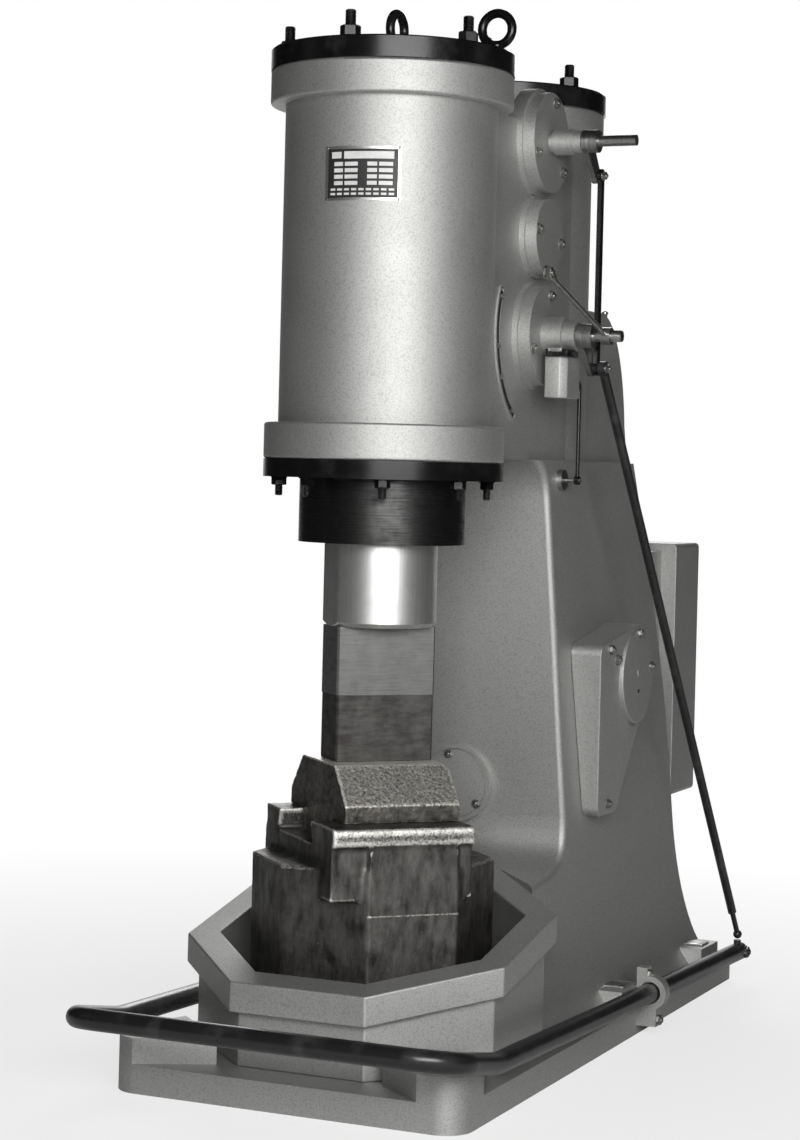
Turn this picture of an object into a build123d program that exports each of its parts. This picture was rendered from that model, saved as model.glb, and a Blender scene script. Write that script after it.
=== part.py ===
from build123d import *
import math
import os

# Single-frame air forging hammer, 150 kg class, in millimetres.
# X points to the operator's right, Y to the back, Z up.
# The origin is on the floor, on the centre line of the ram.

# Base
BASE_HALF_WIDTH = 387
BASE_FRONT = -424
BASE_BACK = 1362
FLANGE_HEIGHT = 59
BASE_CORNER_RADIUS = 60
PAD_HEIGHT = 112
PAD_INNER_LEFT = 333
PAD_INNER_RIGHT = 293
PAD_BACK = -310
PAD_WAIST = (184, 340)
LUG_LENGTH = 136
LUG_INNER = 240
LUG_OUTER = 385
FOUNDATION_BOLT_X = 347
FOUNDATION_BOLT_Y = (589, 1189)
FOUNDATION_HOLE = 36

# Octagonal basin round the anvil
BASIN_RADIUS = 391
BASIN_BORE_RADIUS = 322
BASIN_CENTRE_Y = 4
RIM_FRONT_HEIGHT = 233
RIM_SLOPE = 0.215
RIM_BAND = 62
SKIRT_RADIUS = 366
BASIN_BACK = BASIN_CENTRE_Y + BASIN_RADIUS * math.cos(math.pi / 8)

# Anvil and dies, which are turned 45 degrees to the frame
ANVIL_RADIUS = 257
SHOULDER_HEIGHT = 457
SEAM_HEIGHT = 366
SEAM_SIZE = 3
HEAD_HEIGHT = 546
LEDGE_THICKNESS = 36
DIE_TURN = 45
HEAD_LENGTH = 310
HEAD_SHIFT = -23
HEAD_FRONT = 240
HEAD_BACK = -186
HEAD_BACK_FOOT = -196
SLOT_HALF_WIDTH = 96
SLOT_FLOOR = 500
DOVETAIL = 14
DIE_BOTTOM = 546
DIE_TOP = 660
DIE_LENGTH = 256
DIE_SHIFT = -2
DIE_END_BEVEL = 14
DIE_TOP_HALF_WIDTH = 100
DIE_FOOT_HALF_WIDTH = 172
DIE_FOOT_HEIGHT = 36

# Ram
RAM_RADIUS = 120
RAM_FLAT = 111
RAM_BOTTOM = 941
RAM_TOP = 1590
RAM_CHAMFER = 9
HOLDER_LENGTH = 219
HOLDER_WIDTH = 98
UPPER_DIE_TOP = 798
UPPER_DIE_LENGTH = 216
DIE_REST_GAP = 0.5

# Working cylinder
BARREL_RADIUS = 225
BORE_RADIUS = 150
FLANGE_RADIUS = 257
RING_RADIUS = 254
CYLINDER_TOP = 2105
UPPER_FLANGE_BOTTOM = 2034
COVER_TOP = 2150
LOWER_FLANGE_TOP = 1365
CYLINDER_BOTTOM = 1289
RING_BOTTOM = 1251
SLEEVE_RADIUS = 176
SLEEVE_BOTTOM = 1116
SLIDE_CLEARANCE = 1.5

# Compressor cylinder
COMPRESSOR_Y = 620
COMPRESSOR_RADIUS = 215
COMPRESSOR_FLANGE_RADIUS = 240
NECK_HALF_WIDTH = 205
THROAT_HEIGHT = 1300
THROAT_RADIUS = 88
CAST_EDGE = 6

# Column
COLUMN_TOP_HALF_WIDTH = 222
COLUMN_FOOT_HALF_WIDTH = 278
COLUMN_FRONT_TOP = 395
COLUMN_FRONT_FOOT = 462
COLUMN_FRONT_BEND = 500
COLUMN_EDGE = 14
COLUMN_TOP_BACK = 990
COLUMN_FOOT_BACK = 1264
FLARE_TOP = 430
FLARE_OUTER = 372
FLARE_FRONT = 60
FLARE_BACK = 1296

# Lifting eyes on the covers
EYE_RING_RADIUS = 44
EYE_HOLE_RADIUS = 24
EYE_THICKNESS = 20
EYE_HEIGHT = 62
EYE_SHANK_RADIUS = 13
EYE_COLLAR_RADIUS = 26
EYE_COLLAR_HEIGHT = 10

# Data plate on the barrel
PLATE_Z = 1872
PLATE_HEIGHT = 110
PLATE_WIDTH = 160
PLATE_THICKNESS = 2
PLATE_ANGLE = -81

# Valve gear on the right side
VALVE_Y = 318
UPPER_VALVE_Z = 1996
MIDDLE_COVER_Z = 1789
LOWER_VALVE_Z = 1572
ARC_SLOT_RADIUS = 205
ARC_SLOT_START = 155
ARC_SLOT_SWEEP = 85
ARC_SLOT_WIDTH = 15
ARC_SLOT_DEPTH = 9
VALVE_BOSS_RADIUS = 118
MIDDLE_BOSS_RADIUS = 90
VALVE_FLANGE_RADIUS = 109
MIDDLE_COVER_RADIUS = 83
VALVE_FACE = 243
VALVE_BACK = 217
ARM_INNER = 318
ARM_THICKNESS = 12
UPPER_HUB_STEPS = ((22, VALVE_FACE, 256), (28, 252, 296), (24, 296, ARM_INNER - 2))
LOWER_HUB_STEPS = ((42, VALVE_FACE, 288), (33, 288, ARM_INNER - 2))
ARM_Y = 62
ARM_DROP = 68
ARM_EYE_RADIUS = 17
ARM_PIN_RADIUS = 8
SHAFT_RADIUS = 12
UPPER_BOSS_RADIUS = 25
LOWER_BOSS_RADIUS = 27
BOSS_OUTER = 352
UPPER_SHAFT_END = 438
LOWER_SHAFT_END = 416
LINK_INNER = 332
LINK_THICKNESS = 9
LINK_HALF_WIDTH = 10
LINK_EYE_RADIUS = 15
LEVER_RADIUS = 6
LEVER_BOSS = (19, 370, 392)
LEVER_TIP = (386, -62, 1676)
KNOB_RADIUS = 11
KNOB_LENGTH = 26

# Treadle
TUBE_RADIUS = 22
TREADLE_X = 418
TREADLE_FRONT = -564
TREADLE_FRONT_Z = 174
TREADLE_PIVOT_Y = 633
TREADLE_PIVOT_Z = 98
TREADLE_END_Y = 1340
TREADLE_END_Z = 78
TREADLE_BENDS = ((-330, 128), (269, 108))
BRACKET_HALF_LENGTH = 16
BRACKET_WALL = 16
BRACKET_BOTTOM = 22
BRACKET_EAR = 24
BRACKET_TOP = 154
ROD_FOOT_Y = 1318
ROD_FOOT_Z = 79
ROD_RADIUS = 10.5
ROD_THIN_RADIUS = 6.5
ROD_THIN_LENGTH = 75
ROD_TOP_X = 352
ROD_FOOT_X = 418
ROD_EYE_RADIUS = 16
STALK_RADIUS = 9

# Drive of the oil pump, on the column's right side
CRANK_Y = 470
CRANK_Z = 1257
CRANK_DISC_RADIUS = 23
CRANK_PIN_RADIUS = 5
DRIVE_ROD_X = 266
DRIVE_ROD_RADIUS = 4.5
DRIVE_ROD_TOP = 1480
PUMP_FRONT = VALVE_Y - 50
PUMP_BACK = VALVE_Y + 40
PUMP_INNER = 258
PUMP_OUTER = 306
PUMP_BOTTOM = 1436
PUMP_TOP = 1526

# Covers on the column
FRONT_COVER_RADIUS = 86
FRONT_COVER_Z = 562
GEAR_SHAFT_Y = 765
GEAR_SHAFT_Z = 803
GEAR_COVER_RADIUS = 122
GEAR_BOSS_RADIUS = 110
GEAR_COVER_TOP_X = 320
GEAR_COVER_FOOT_X = 298
GEAR_BOSS_X = 324

# Belt guard behind the column
GUARD_HALF_WIDTH = 240
GUARD_BACK = 1487
GUARD_BOTTOM = 460
GUARD_TOP = 1100
GUARD_EDGE = 12
BEARING_RADIUS = 110
BEARING_Z = 780


def save(name, shape):
    """Write one node to its own file."""
    os.makedirs("parts", exist_ok=True)
    export_step(shape, f"parts/{name}.step")


def disc_z(radius, low, high, x=0, y=0):
    """A round disc or bar along Z between two heights."""
    return Pos(x, y, (low + high) / 2) * Cylinder(radius, high - low)


def disc_x(radius, inner, outer, y, z):
    """A round disc or bar along X between two values of X."""
    return Pos((inner + outer) / 2, y, z) * Rot(0, 90, 0) * Cylinder(radius, outer - inner)


def disc_y(radius, front, back, x, z):
    """A round disc or bar along Y between two values of Y."""
    return Pos(x, (front + back) / 2, z) * Rot(90, 0, 0) * Cylinder(radius, back - front)


def block(x0, x1, y0, y1, z0, z1):
    """A rectangular block between two corners."""
    return Pos((x0 + x1) / 2, (y0 + y1) / 2, (z0 + z1) / 2) * Box(x1 - x0, y1 - y0, z1 - z0)


def octagon(radius):
    """A regular octagon with flat sides to the front, back, left and right."""
    return RegularPolygon(radius, 8, rotation=22.5)


def turned(shape):
    """Turn a piece with the dies, 45 degrees to the frame, about the ram's centre line."""
    return Rot(0, 0, DIE_TURN) * shape


def prism_x(points, left, right):
    """A solid between two values of X, whose section is given by (y, z) points."""
    face = Plane.YZ * Polygon(*points, align=None)
    return Pos(left, 0, 0) * extrude(face, right - left, dir=(1, 0, 0))


def rounded_disc(radius, low, high, edge, y=0):
    """A round cast flange with rounded edges."""
    disc = disc_z(radius, low, high, y=y)
    return fillet(disc.edges().filter_by(GeomType.CIRCLE), edge)


def anvil():
    """The octagonal block, with the dovetailed head that holds the lower die."""
    body = extrude(octagon(ANVIL_RADIUS), SHOULDER_HEIGHT)
    groove = octagon(ANVIL_RADIUS + 1) - octagon(ANVIL_RADIUS - SEAM_SIZE)
    seam = extrude(Pos(0, 0, SEAM_HEIGHT) * groove, SEAM_SIZE)
    left = HEAD_SHIFT - HEAD_LENGTH / 2
    right = HEAD_SHIFT + HEAD_LENGTH / 2
    ledge_bottom = HEAD_HEIGHT - LEDGE_THICKNESS
    profile = [
        (-HEAD_FRONT + 12, SHOULDER_HEIGHT - 60),
        (-HEAD_FRONT + 12, ledge_bottom - 4),
        (-HEAD_FRONT, ledge_bottom),
        (-HEAD_FRONT, HEAD_HEIGHT - 5),
        (-HEAD_FRONT + 5, HEAD_HEIGHT),
        (-SLOT_HALF_WIDTH, HEAD_HEIGHT),
        (-SLOT_HALF_WIDTH - DOVETAIL, SLOT_FLOOR),
        (SLOT_HALF_WIDTH + DOVETAIL, SLOT_FLOOR),
        (SLOT_HALF_WIDTH, HEAD_HEIGHT),
        (-HEAD_BACK, HEAD_HEIGHT),
        (-HEAD_BACK_FOOT, SHOULDER_HEIGHT),
        (-HEAD_BACK_FOOT, SHOULDER_HEIGHT - 60),
    ]
    head = prism_x(profile, left, right)
    return body - seam + turned(head)


def lower_die():
    """The lower die: a wide foot, a sloping top and a narrow tongue in the anvil's dovetail."""
    foot_top = DIE_BOTTOM + DIE_FOOT_HEIGHT
    profile = [
        (-DIE_FOOT_HALF_WIDTH, DIE_BOTTOM),
        (-DIE_FOOT_HALF_WIDTH, foot_top),
        (-DIE_TOP_HALF_WIDTH, DIE_TOP),
        (DIE_TOP_HALF_WIDTH, DIE_TOP),
        (DIE_FOOT_HALF_WIDTH, foot_top),
        (DIE_FOOT_HALF_WIDTH, DIE_BOTTOM),
        (SLOT_HALF_WIDTH - 4, DIE_BOTTOM),
        (SLOT_HALF_WIDTH - 8, SLOT_FLOOR),
        (-SLOT_HALF_WIDTH + 8, SLOT_FLOOR),
        (-SLOT_HALF_WIDTH + 4, DIE_BOTTOM),
    ]
    left = DIE_SHIFT - DIE_LENGTH / 2
    right = DIE_SHIFT + DIE_LENGTH / 2
    die = prism_x(profile, left, right)
    top_end = die.edges().filter_by(Axis.Y).group_by(Axis.Z)[-1].sort_by(Axis.X)[-1]
    return turned(chamfer(top_end, DIE_END_BEVEL))


def rim_height(y):
    """Height of the basin's top edge, which rises towards the column."""
    front = BASIN_CENTRE_Y - BASIN_RADIUS * math.cos(math.pi / 8)
    return RIM_FRONT_HEIGHT + RIM_SLOPE * (y - front)


def under_rim(offset, front=-500, back=500):
    """Everything below the sloping plane of the rim, lowered by an offset."""
    points = [
        (front, -10),
        (front, rim_height(front) - offset),
        (back, rim_height(back) - offset),
        (back, -10),
    ]
    return prism_x(points, -500, 500)


def basin():
    centre = Pos(0, BASIN_CENTRE_Y, 0)
    full_height = rim_height(500)
    rim = extrude(centre * octagon(BASIN_RADIUS), full_height)
    rim = (rim & under_rim(0)) - under_rim(RIM_BAND)
    skirt = extrude(centre * octagon(SKIRT_RADIUS), full_height) & under_rim(RIM_BAND)
    skirt -= block(-500, 500, -500, 500, -10, FLANGE_HEIGHT)
    bore = extrude(centre * octagon(BASIN_BORE_RADIUS), 600)
    return rim + skirt - bore


def foot_lugs():
    """The four raised pads over the foundation holes."""
    lugs = Part()
    width = LUG_OUTER - LUG_INNER
    for side in (-1, 1):
        for place in FOUNDATION_BOLT_Y:
            centre = Pos(side * (LUG_INNER + LUG_OUTER) / 2, place, (FLANGE_HEIGHT + PAD_HEIGHT) / 2)
            lug = centre * Box(width, LUG_LENGTH, PAD_HEIGHT - FLANGE_HEIGHT)
            lugs += lug
    return lugs


def corner_pad(side, inner):
    """The raised corner at the front, which runs back to the slanting face of the skirt."""
    waist_x, waist_y = PAD_WAIST
    outline = Polygon(
        (side * inner, BASE_FRONT),
        (side * BASE_HALF_WIDTH, BASE_FRONT),
        (side * BASE_HALF_WIDTH, PAD_BACK),
        (side * waist_y, -waist_x),
        (side * waist_x, -waist_y),
        align=None,
    )
    pad = extrude(Pos(0, 0, FLANGE_HEIGHT) * outline, PAD_HEIGHT - FLANGE_HEIGHT, dir=(0, 0, 1))
    return pad - extrude(Pos(0, BASIN_CENTRE_Y, 0) * octagon(SKIRT_RADIUS), 300)


def base():
    """The bed: a low flange all round, raised corners at the front and foot lugs at the sides."""
    length = BASE_BACK - BASE_FRONT
    centre_y = (BASE_BACK + BASE_FRONT) / 2
    outline = Pos(0, centre_y) * Rectangle(2 * BASE_HALF_WIDTH, length)
    outline = fillet(outline.vertices().group_by(Axis.Y)[0], BASE_CORNER_RADIUS)
    bed = extrude(outline, FLANGE_HEIGHT)
    pads = corner_pad(-1, PAD_INNER_LEFT) + corner_pad(1, PAD_INNER_RIGHT)
    bed += pads & extrude(outline, PAD_HEIGHT)
    bed += foot_lugs()
    for side in (-1, 1):
        for place in FOUNDATION_BOLT_Y:
            bed -= disc_z(FOUNDATION_HOLE / 2, -1, 200, side * FOUNDATION_BOLT_X, place)
    bed -= extrude(Pos(0, BASIN_CENTRE_Y, 0) * octagon(BASIN_BORE_RADIUS), 300)
    return bed


def basin_envelope():
    """All that the basin's rim and skirt take up, with what is above and inside them."""
    centre = Pos(0, BASIN_CENTRE_Y, 0)
    outer = extrude(centre * octagon(BASIN_RADIUS), 900) - under_rim(RIM_BAND)
    return outer + extrude(centre * octagon(SKIRT_RADIUS), 900)


def column_side_view():
    """The column seen from the right: a throat above, a curved foot in front and a curved back."""
    foot_front = (BASIN_BACK, rim_height(BASIN_BACK))
    bend = (COLUMN_FRONT_FOOT, COLUMN_FRONT_BEND)
    throat = (COLUMN_FRONT_TOP + 7, THROAT_HEIGHT - THROAT_RADIUS)
    throat_rise = (COLUMN_FRONT_TOP + 3, THROAT_HEIGHT - 36)
    throat_turn = (COLUMN_FRONT_TOP - 38, THROAT_HEIGHT)
    throat_front = (COLUMN_FRONT_TOP - THROAT_RADIUS, THROAT_HEIGHT)
    top_back = (COLUMN_TOP_BACK, THROAT_HEIGHT)
    foot_back = (COLUMN_FOOT_BACK, 170)
    toe_back = (FLARE_BACK, FLANGE_HEIGHT)
    with BuildSketch(Plane.YZ) as view:
        with BuildLine():
            Line((FLARE_FRONT, FLANGE_HEIGHT), (FLARE_FRONT, 360))
            Line((FLARE_FRONT, 360), foot_front)
            Bezier(foot_front, (BASIN_BACK + 75, foot_front[1] + 14), (COLUMN_FRONT_FOOT + 4, 430), bend)
            Line(bend, throat)
            Bezier(throat, throat_rise, throat_turn, throat_front)
            Line(throat_front, top_back)
            Spline(top_back, (1092, 1040), (1185, 746), (1238, 440), foot_back)
            Bezier(foot_back, (COLUMN_FOOT_BACK + 4, 100), (FLARE_BACK - 18, FLANGE_HEIGHT + 6), toe_back)
            Line(toe_back, (FLARE_FRONT, FLANGE_HEIGHT))
        make_face()
    return extrude(view.sketch, 500, both=True)


def column_front_view():
    """The column seen from the front: tapering sides that flare out at the foot."""
    top, foot = COLUMN_TOP_HALF_WIDTH, COLUMN_FOOT_HALF_WIDTH
    slope = (foot - top) / (THROAT_HEIGHT - PAD_HEIGHT)
    flare_x = top + slope * (THROAT_HEIGHT - FLARE_TOP)
    with BuildSketch(Plane.XZ) as view:
        with BuildLine():
            for side in (-1, 1):
                Line((side * top, THROAT_HEIGHT), (side * flare_x, FLARE_TOP))
                Bezier(
                    (side * flare_x, FLARE_TOP),
                    (side * (flare_x + slope * 230), FLARE_TOP - 230),
                    (side * 330, FLANGE_HEIGHT + 22),
                    (side * FLARE_OUTER, FLANGE_HEIGHT),
                )
            Line((-FLARE_OUTER, FLANGE_HEIGHT), (FLARE_OUTER, FLANGE_HEIGHT))
            Line((-top, THROAT_HEIGHT), (top, THROAT_HEIGHT))
        make_face()
    return extrude(view.sketch, 2000, both=True)


def is_front_edge(edge):
    """Whether an edge is one of the long upright corners at the front of the column."""
    middle = edge.position_at(0.5)
    return abs(middle.X) > 200 and middle.Y < 480 and middle.Z > 385 and edge.length > 50


def column():
    """The tapering column, from the bed to the throat under the cylinders."""
    body = column_side_view() & column_front_view()
    front_edges = [edge for edge in body.edges() if is_front_edge(edge)]
    body = fillet(front_edges, COLUMN_EDGE)
    return body - basin_envelope() - foot_lugs()


def shoulder():
    """The rounded shoulder behind the compressor, which runs down into the column's back."""
    top = (COMPRESSOR_Y + 160, 1652)
    side = (965, 1390)
    with BuildSketch(Plane.YZ) as view:
        with BuildLine():
            Line((COMPRESSOR_Y, THROAT_HEIGHT), (COMPRESSOR_Y, 1652))
            Line((COMPRESSOR_Y, 1652), top)
            Bezier(top, (880, 1652), (950, 1530), side)
            Line(side, (COLUMN_TOP_BACK, THROAT_HEIGHT))
            Line((COLUMN_TOP_BACK, THROAT_HEIGHT), (COMPRESSOR_Y, THROAT_HEIGHT))
        make_face()
    return extrude(view.sketch, NECK_HALF_WIDTH, both=True)


def arc_slot(width, inner, outer):
    """A curved slot round the lower valve, on the flat right side, from inner to outer of that side."""
    plane = Plane((NECK_HALF_WIDTH + inner, VALVE_Y, LOWER_VALVE_Z), x_dir=(0, 1, 0), z_dir=(1, 0, 0))
    arc = CenterArc((0, 0), ARC_SLOT_RADIUS, ARC_SLOT_START, ARC_SLOT_SWEEP)
    return extrude(plane * SlotArc(arc, width), outer - inner, dir=(1, 0, 0))


def cylinder_block():
    """Both cylinders and the neck between them, one casting."""
    barrel = disc_z(BARREL_RADIUS, CYLINDER_BOTTOM, CYLINDER_TOP)
    upper = rounded_disc(FLANGE_RADIUS, UPPER_FLANGE_BOTTOM, CYLINDER_TOP, CAST_EDGE)
    lower = rounded_disc(RING_RADIUS, CYLINDER_BOTTOM, LOWER_FLANGE_TOP, CAST_EDGE)
    pump = disc_z(COMPRESSOR_RADIUS, THROAT_HEIGHT, CYLINDER_TOP, y=COMPRESSOR_Y)
    pump_flange = rounded_disc(
        COMPRESSOR_FLANGE_RADIUS, UPPER_FLANGE_BOTTOM, CYLINDER_TOP, CAST_EDGE, y=COMPRESSOR_Y
    )
    neck = block(-NECK_HALF_WIDTH, NECK_HALF_WIDTH, 0, COMPRESSOR_Y, THROAT_HEIGHT, UPPER_FLANGE_BOTTOM)
    solid = barrel + upper + lower + pump + pump_flange + neck + shoulder()
    bosses = (
        (UPPER_VALVE_Z, VALVE_BOSS_RADIUS),
        (MIDDLE_COVER_Z, MIDDLE_BOSS_RADIUS),
        (LOWER_VALVE_Z, VALVE_BOSS_RADIUS),
    )
    for z, radius in bosses:
        solid += disc_x(radius, NECK_HALF_WIDTH - 20, VALVE_BACK, VALVE_Y, z)
    solid += arc_slot(ARC_SLOT_WIDTH + 11, 0, 4)
    solid -= arc_slot(ARC_SLOT_WIDTH, -ARC_SLOT_DEPTH, 5)
    bore = disc_z(BORE_RADIUS, CYLINDER_BOTTOM - 1, CYLINDER_TOP - 20)
    return solid - bore


def cover(radius, y):
    """The round plate that closes a cylinder."""
    plate = disc_z(radius, CYLINDER_TOP, COVER_TOP, y=y)
    return chamfer(plate.edges().filter_by(GeomType.CIRCLE).group_by(Axis.Z)[-1], 3)


def lifting_eye(x, y, turn):
    """An eye bolt on a cover, turned about its own axis."""
    ring = Cylinder(EYE_RING_RADIUS, EYE_THICKNESS) - Cylinder(EYE_HOLE_RADIUS, EYE_THICKNESS + 2)
    ring = Pos(0, 0, EYE_HEIGHT) * Rot(90, 0, 0) * ring
    shank = disc_z(EYE_SHANK_RADIUS, 0, EYE_HEIGHT - EYE_HOLE_RADIUS - 14)
    collar = disc_z(EYE_COLLAR_RADIUS, 0, EYE_COLLAR_HEIGHT)
    return Pos(x, y, COVER_TOP) * Rot(0, 0, turn) * (ring + shank + collar)


def ram():
    """The hammer bar: a round bar with two flats, chamfered at its lower end."""
    bar = disc_z(RAM_RADIUS, RAM_BOTTOM, RAM_TOP)
    bar = chamfer(bar.edges().group_by(Axis.Z)[0], RAM_CHAMFER)
    flats = block(-RAM_FLAT, RAM_FLAT, -RAM_RADIUS, RAM_RADIUS, RAM_BOTTOM, RAM_TOP)
    return turned(bar & flats)


def guide_sleeve():
    """The sleeve under the cylinder that guides the ram."""
    outer = disc_z(SLEEVE_RADIUS, SLEEVE_BOTTOM, RING_BOTTOM)
    inner = RAM_RADIUS + SLIDE_CLEARANCE
    bore = disc_z(inner, SLEEVE_BOTTOM - 1, RING_BOTTOM + 1)
    return outer - bore


def gland_ring():
    """The flange ring between the cylinder and the guide sleeve."""
    outer = disc_z(RING_RADIUS, RING_BOTTOM, CYLINDER_BOTTOM)
    return outer - disc_z(RAM_RADIUS + 4, RING_BOTTOM - 1, CYLINDER_BOTTOM + 1)


def die_block(length, width, low, high):
    """A rectangular block under the ram, with small chamfers on its upright edges."""
    shape = block(-length / 2, length / 2, -width / 2, width / 2, low, high)
    shape = chamfer(shape.edges().filter_by(Axis.Z), 4)
    return turned(shape)


def valve_flange(z, radius):
    """A round cover plate on a valve's boss."""
    return disc_x(radius, VALVE_BACK, VALVE_FACE, VALVE_Y, z)


def valve_hub(z, steps):
    """A stepped round hub of (radius, inner X, outer X), bored for the shaft."""
    hub = disc_x(steps[0][0], steps[0][1], steps[0][2], VALVE_Y, z)
    for radius, inner, outer in steps[1:]:
        hub += disc_x(radius, inner, outer, VALVE_Y, z)
    return hub - disc_x(SHAFT_RADIUS + 0.5, VALVE_FACE + 6, 500, VALVE_Y, z)


def valve_arm(z, boss_radius):
    """The crank arm that hangs down and back from a valve shaft, with its round boss."""
    pin_y, pin_z = VALVE_Y + ARM_Y, z - ARM_DROP
    turn = math.degrees(math.atan2(-ARM_DROP, ARM_Y))
    length = math.hypot(ARM_Y, ARM_DROP)
    outline = Circle(boss_radius + 1) + Pos(length, 0) * Circle(ARM_EYE_RADIUS)
    root_width, eye_width = 22, ARM_EYE_RADIUS - 1
    web = Polygon((0, root_width), (length, eye_width), (length, -eye_width), (0, -root_width), align=None)
    plane = Plane((ARM_INNER, VALVE_Y, z), x_dir=(0, 1, 0), z_dir=(1, 0, 0))
    arm = extrude(plane * Rot(0, 0, turn) * (outline + web), ARM_THICKNESS, dir=(1, 0, 0))
    arm += disc_x(boss_radius, ARM_INNER, BOSS_OUTER, VALVE_Y, z)
    return arm, pin_y, pin_z


def valve_shaft(z, boss_radius, end):
    """A valve's shaft with its crank arm and the arm's pin."""
    arm, pin_y, pin_z = valve_arm(z, boss_radius)
    shaft = disc_x(SHAFT_RADIUS, VALVE_FACE + 8, end, VALVE_Y, z)
    pin = disc_x(ARM_PIN_RADIUS, ARM_INNER + 1, LINK_INNER - 1, pin_y, pin_z)
    return arm + shaft + pin


def hand_lever():
    """The thin lever on the lower valve's shaft, with a knob at its front end."""
    boss_radius, inner, outer = LEVER_BOSS
    start = Vector((inner + outer) / 2 - 1, VALVE_Y - 12, LOWER_VALVE_Z + 3)
    reach = Vector(*LEVER_TIP) - start
    length = reach.length
    plane = Plane(start, z_dir=reach.normalized())
    bar = plane * Pos(0, 0, length / 2) * Cylinder(LEVER_RADIUS, length)
    knob = plane * Pos(0, 0, length - 4) * Cylinder(KNOB_RADIUS, KNOB_LENGTH)
    boss = disc_x(boss_radius, inner, outer, VALVE_Y, LOWER_VALVE_Z)
    return boss + bar + knob - disc_x(SHAFT_RADIUS, inner - 10, outer + 10, VALVE_Y, LOWER_VALVE_Z)


def link_bar():
    """The flat bar that joins the pins of both valve arms."""
    low, high = LOWER_VALVE_Z - ARM_DROP, UPPER_VALVE_Z - ARM_DROP
    y = VALVE_Y + ARM_Y
    outer = LINK_INNER + LINK_THICKNESS
    bar = block(LINK_INNER, outer, y - LINK_HALF_WIDTH, y + LINK_HALF_WIDTH, low, high)
    for z in (low, high):
        bar += disc_x(LINK_EYE_RADIUS, LINK_INNER, outer, y, z)
    return bar


def treadle_rod():
    """The long rod from the treadle's back end up to the lower valve's arm, thinner at its foot."""
    top = Vector(ROD_TOP_X, VALVE_Y + ARM_Y, LOWER_VALVE_Z - ARM_DROP)
    foot = Vector(ROD_FOOT_X, ROD_FOOT_Y, ROD_FOOT_Z + TUBE_RADIUS + 22)
    direction = (top - foot).normalized()
    length = (top - foot).length - 6
    plane = Plane(foot, z_dir=direction)
    thin = plane * Pos(0, 0, ROD_THIN_LENGTH / 2) * Cylinder(ROD_THIN_RADIUS, ROD_THIN_LENGTH)
    thick_length = length - ROD_THIN_LENGTH
    rod = plane * Pos(0, 0, ROD_THIN_LENGTH + thick_length / 2) * Cylinder(ROD_RADIUS, thick_length)
    eye = disc_x(ROD_EYE_RADIUS, ROD_TOP_X - 8, ROD_TOP_X + 8, top.Y, top.Z)
    foot_eye = Pos(ROD_FOOT_X, ROD_FOOT_Y, foot.Z) * Sphere(11)
    return rod + thin + eye + foot_eye


def treadle():
    """The bent tube that runs round the front of the base, with the stalk that lifts the rod."""
    side = [(TREADLE_FRONT, TREADLE_FRONT_Z), *TREADLE_BENDS, (TREADLE_END_Y, TREADLE_END_Z)]
    right = [(TREADLE_X, y, z) for y, z in side]
    left = [(-TREADLE_X, y, z) for y, z in side]
    path = FilletPolyline(*reversed(left), *right, radius=[300, 300, 90, 90, 300, 300])
    start = Plane(path @ 0, z_dir=path % 0)
    tube = sweep(start * Circle(TUBE_RADIUS), path=path)
    tube_top = ROD_FOOT_Z + TUBE_RADIUS
    return tube + disc_z(STALK_RADIUS, tube_top - 4, tube_top + 8, ROD_FOOT_X, ROD_FOOT_Y)


def treadle_bracket(side):
    """The clamp on the base that carries one side tube of the treadle."""
    inner = BASE_HALF_WIDTH
    front, back = TREADLE_PIVOT_Y - BRACKET_HALF_LENGTH, TREADLE_PIVOT_Y + BRACKET_HALF_LENGTH
    z = TREADLE_PIVOT_Z
    eye = disc_y(TUBE_RADIUS + BRACKET_WALL, front, back, TREADLE_X, z)
    foot = block(inner, TREADLE_X + BRACKET_WALL, front, back, BRACKET_BOTTOM, z)
    ear = block(inner, inner + BRACKET_EAR, front, back, z, BRACKET_TOP)
    shape = eye + foot + ear - block(0, inner, front, back, 0, 300)
    shape -= disc_y(TUBE_RADIUS + 3, front - 1, back + 1, TREADLE_X, z)
    if side < 0:
        shape = mirror(shape, Plane.YZ)
    return shape


def front_cover():
    """The round cover behind the dies, with a groove inside its rim."""
    y, z = COLUMN_FRONT_FOOT, FRONT_COVER_Z
    radius = FRONT_COVER_RADIUS
    disc = disc_y(radius, y - 24, y + 20, 0, z)
    groove = disc_y(radius - 6, y - 25, y - 18, 0, z) - disc_y(radius - 12, y - 26, y - 17, 0, z)
    return disc - groove - column()


def gear_cover():
    """The pear-shaped housing on the right side, with a round boss over the upper shaft."""
    corners = [(516, 884), (752, 922), (880, 776), (700, 492), (573, 492)]
    outline = fillet(Polygon(*corners, align=None).vertices(), 24)
    pear = Plane.YZ * (outline + Pos(GEAR_SHAFT_Y, GEAR_SHAFT_Z) * Circle(GEAR_COVER_RADIUS))
    inner = COLUMN_TOP_HALF_WIDTH
    body = extrude(Pos(inner, 0, 0) * pear, GEAR_COVER_TOP_X - inner, dir=(1, 0, 0))
    high, low = 930, 490
    face = Polygon((GEAR_COVER_TOP_X, high), (400, high), (400, low), (GEAR_COVER_FOOT_X, low), align=None)
    body -= extrude(Plane.XZ * face, 1000, both=True)
    boss = disc_x(GEAR_BOSS_RADIUS, inner, GEAR_BOSS_X, GEAR_SHAFT_Y, GEAR_SHAFT_Z)
    return body + boss - column()


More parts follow.
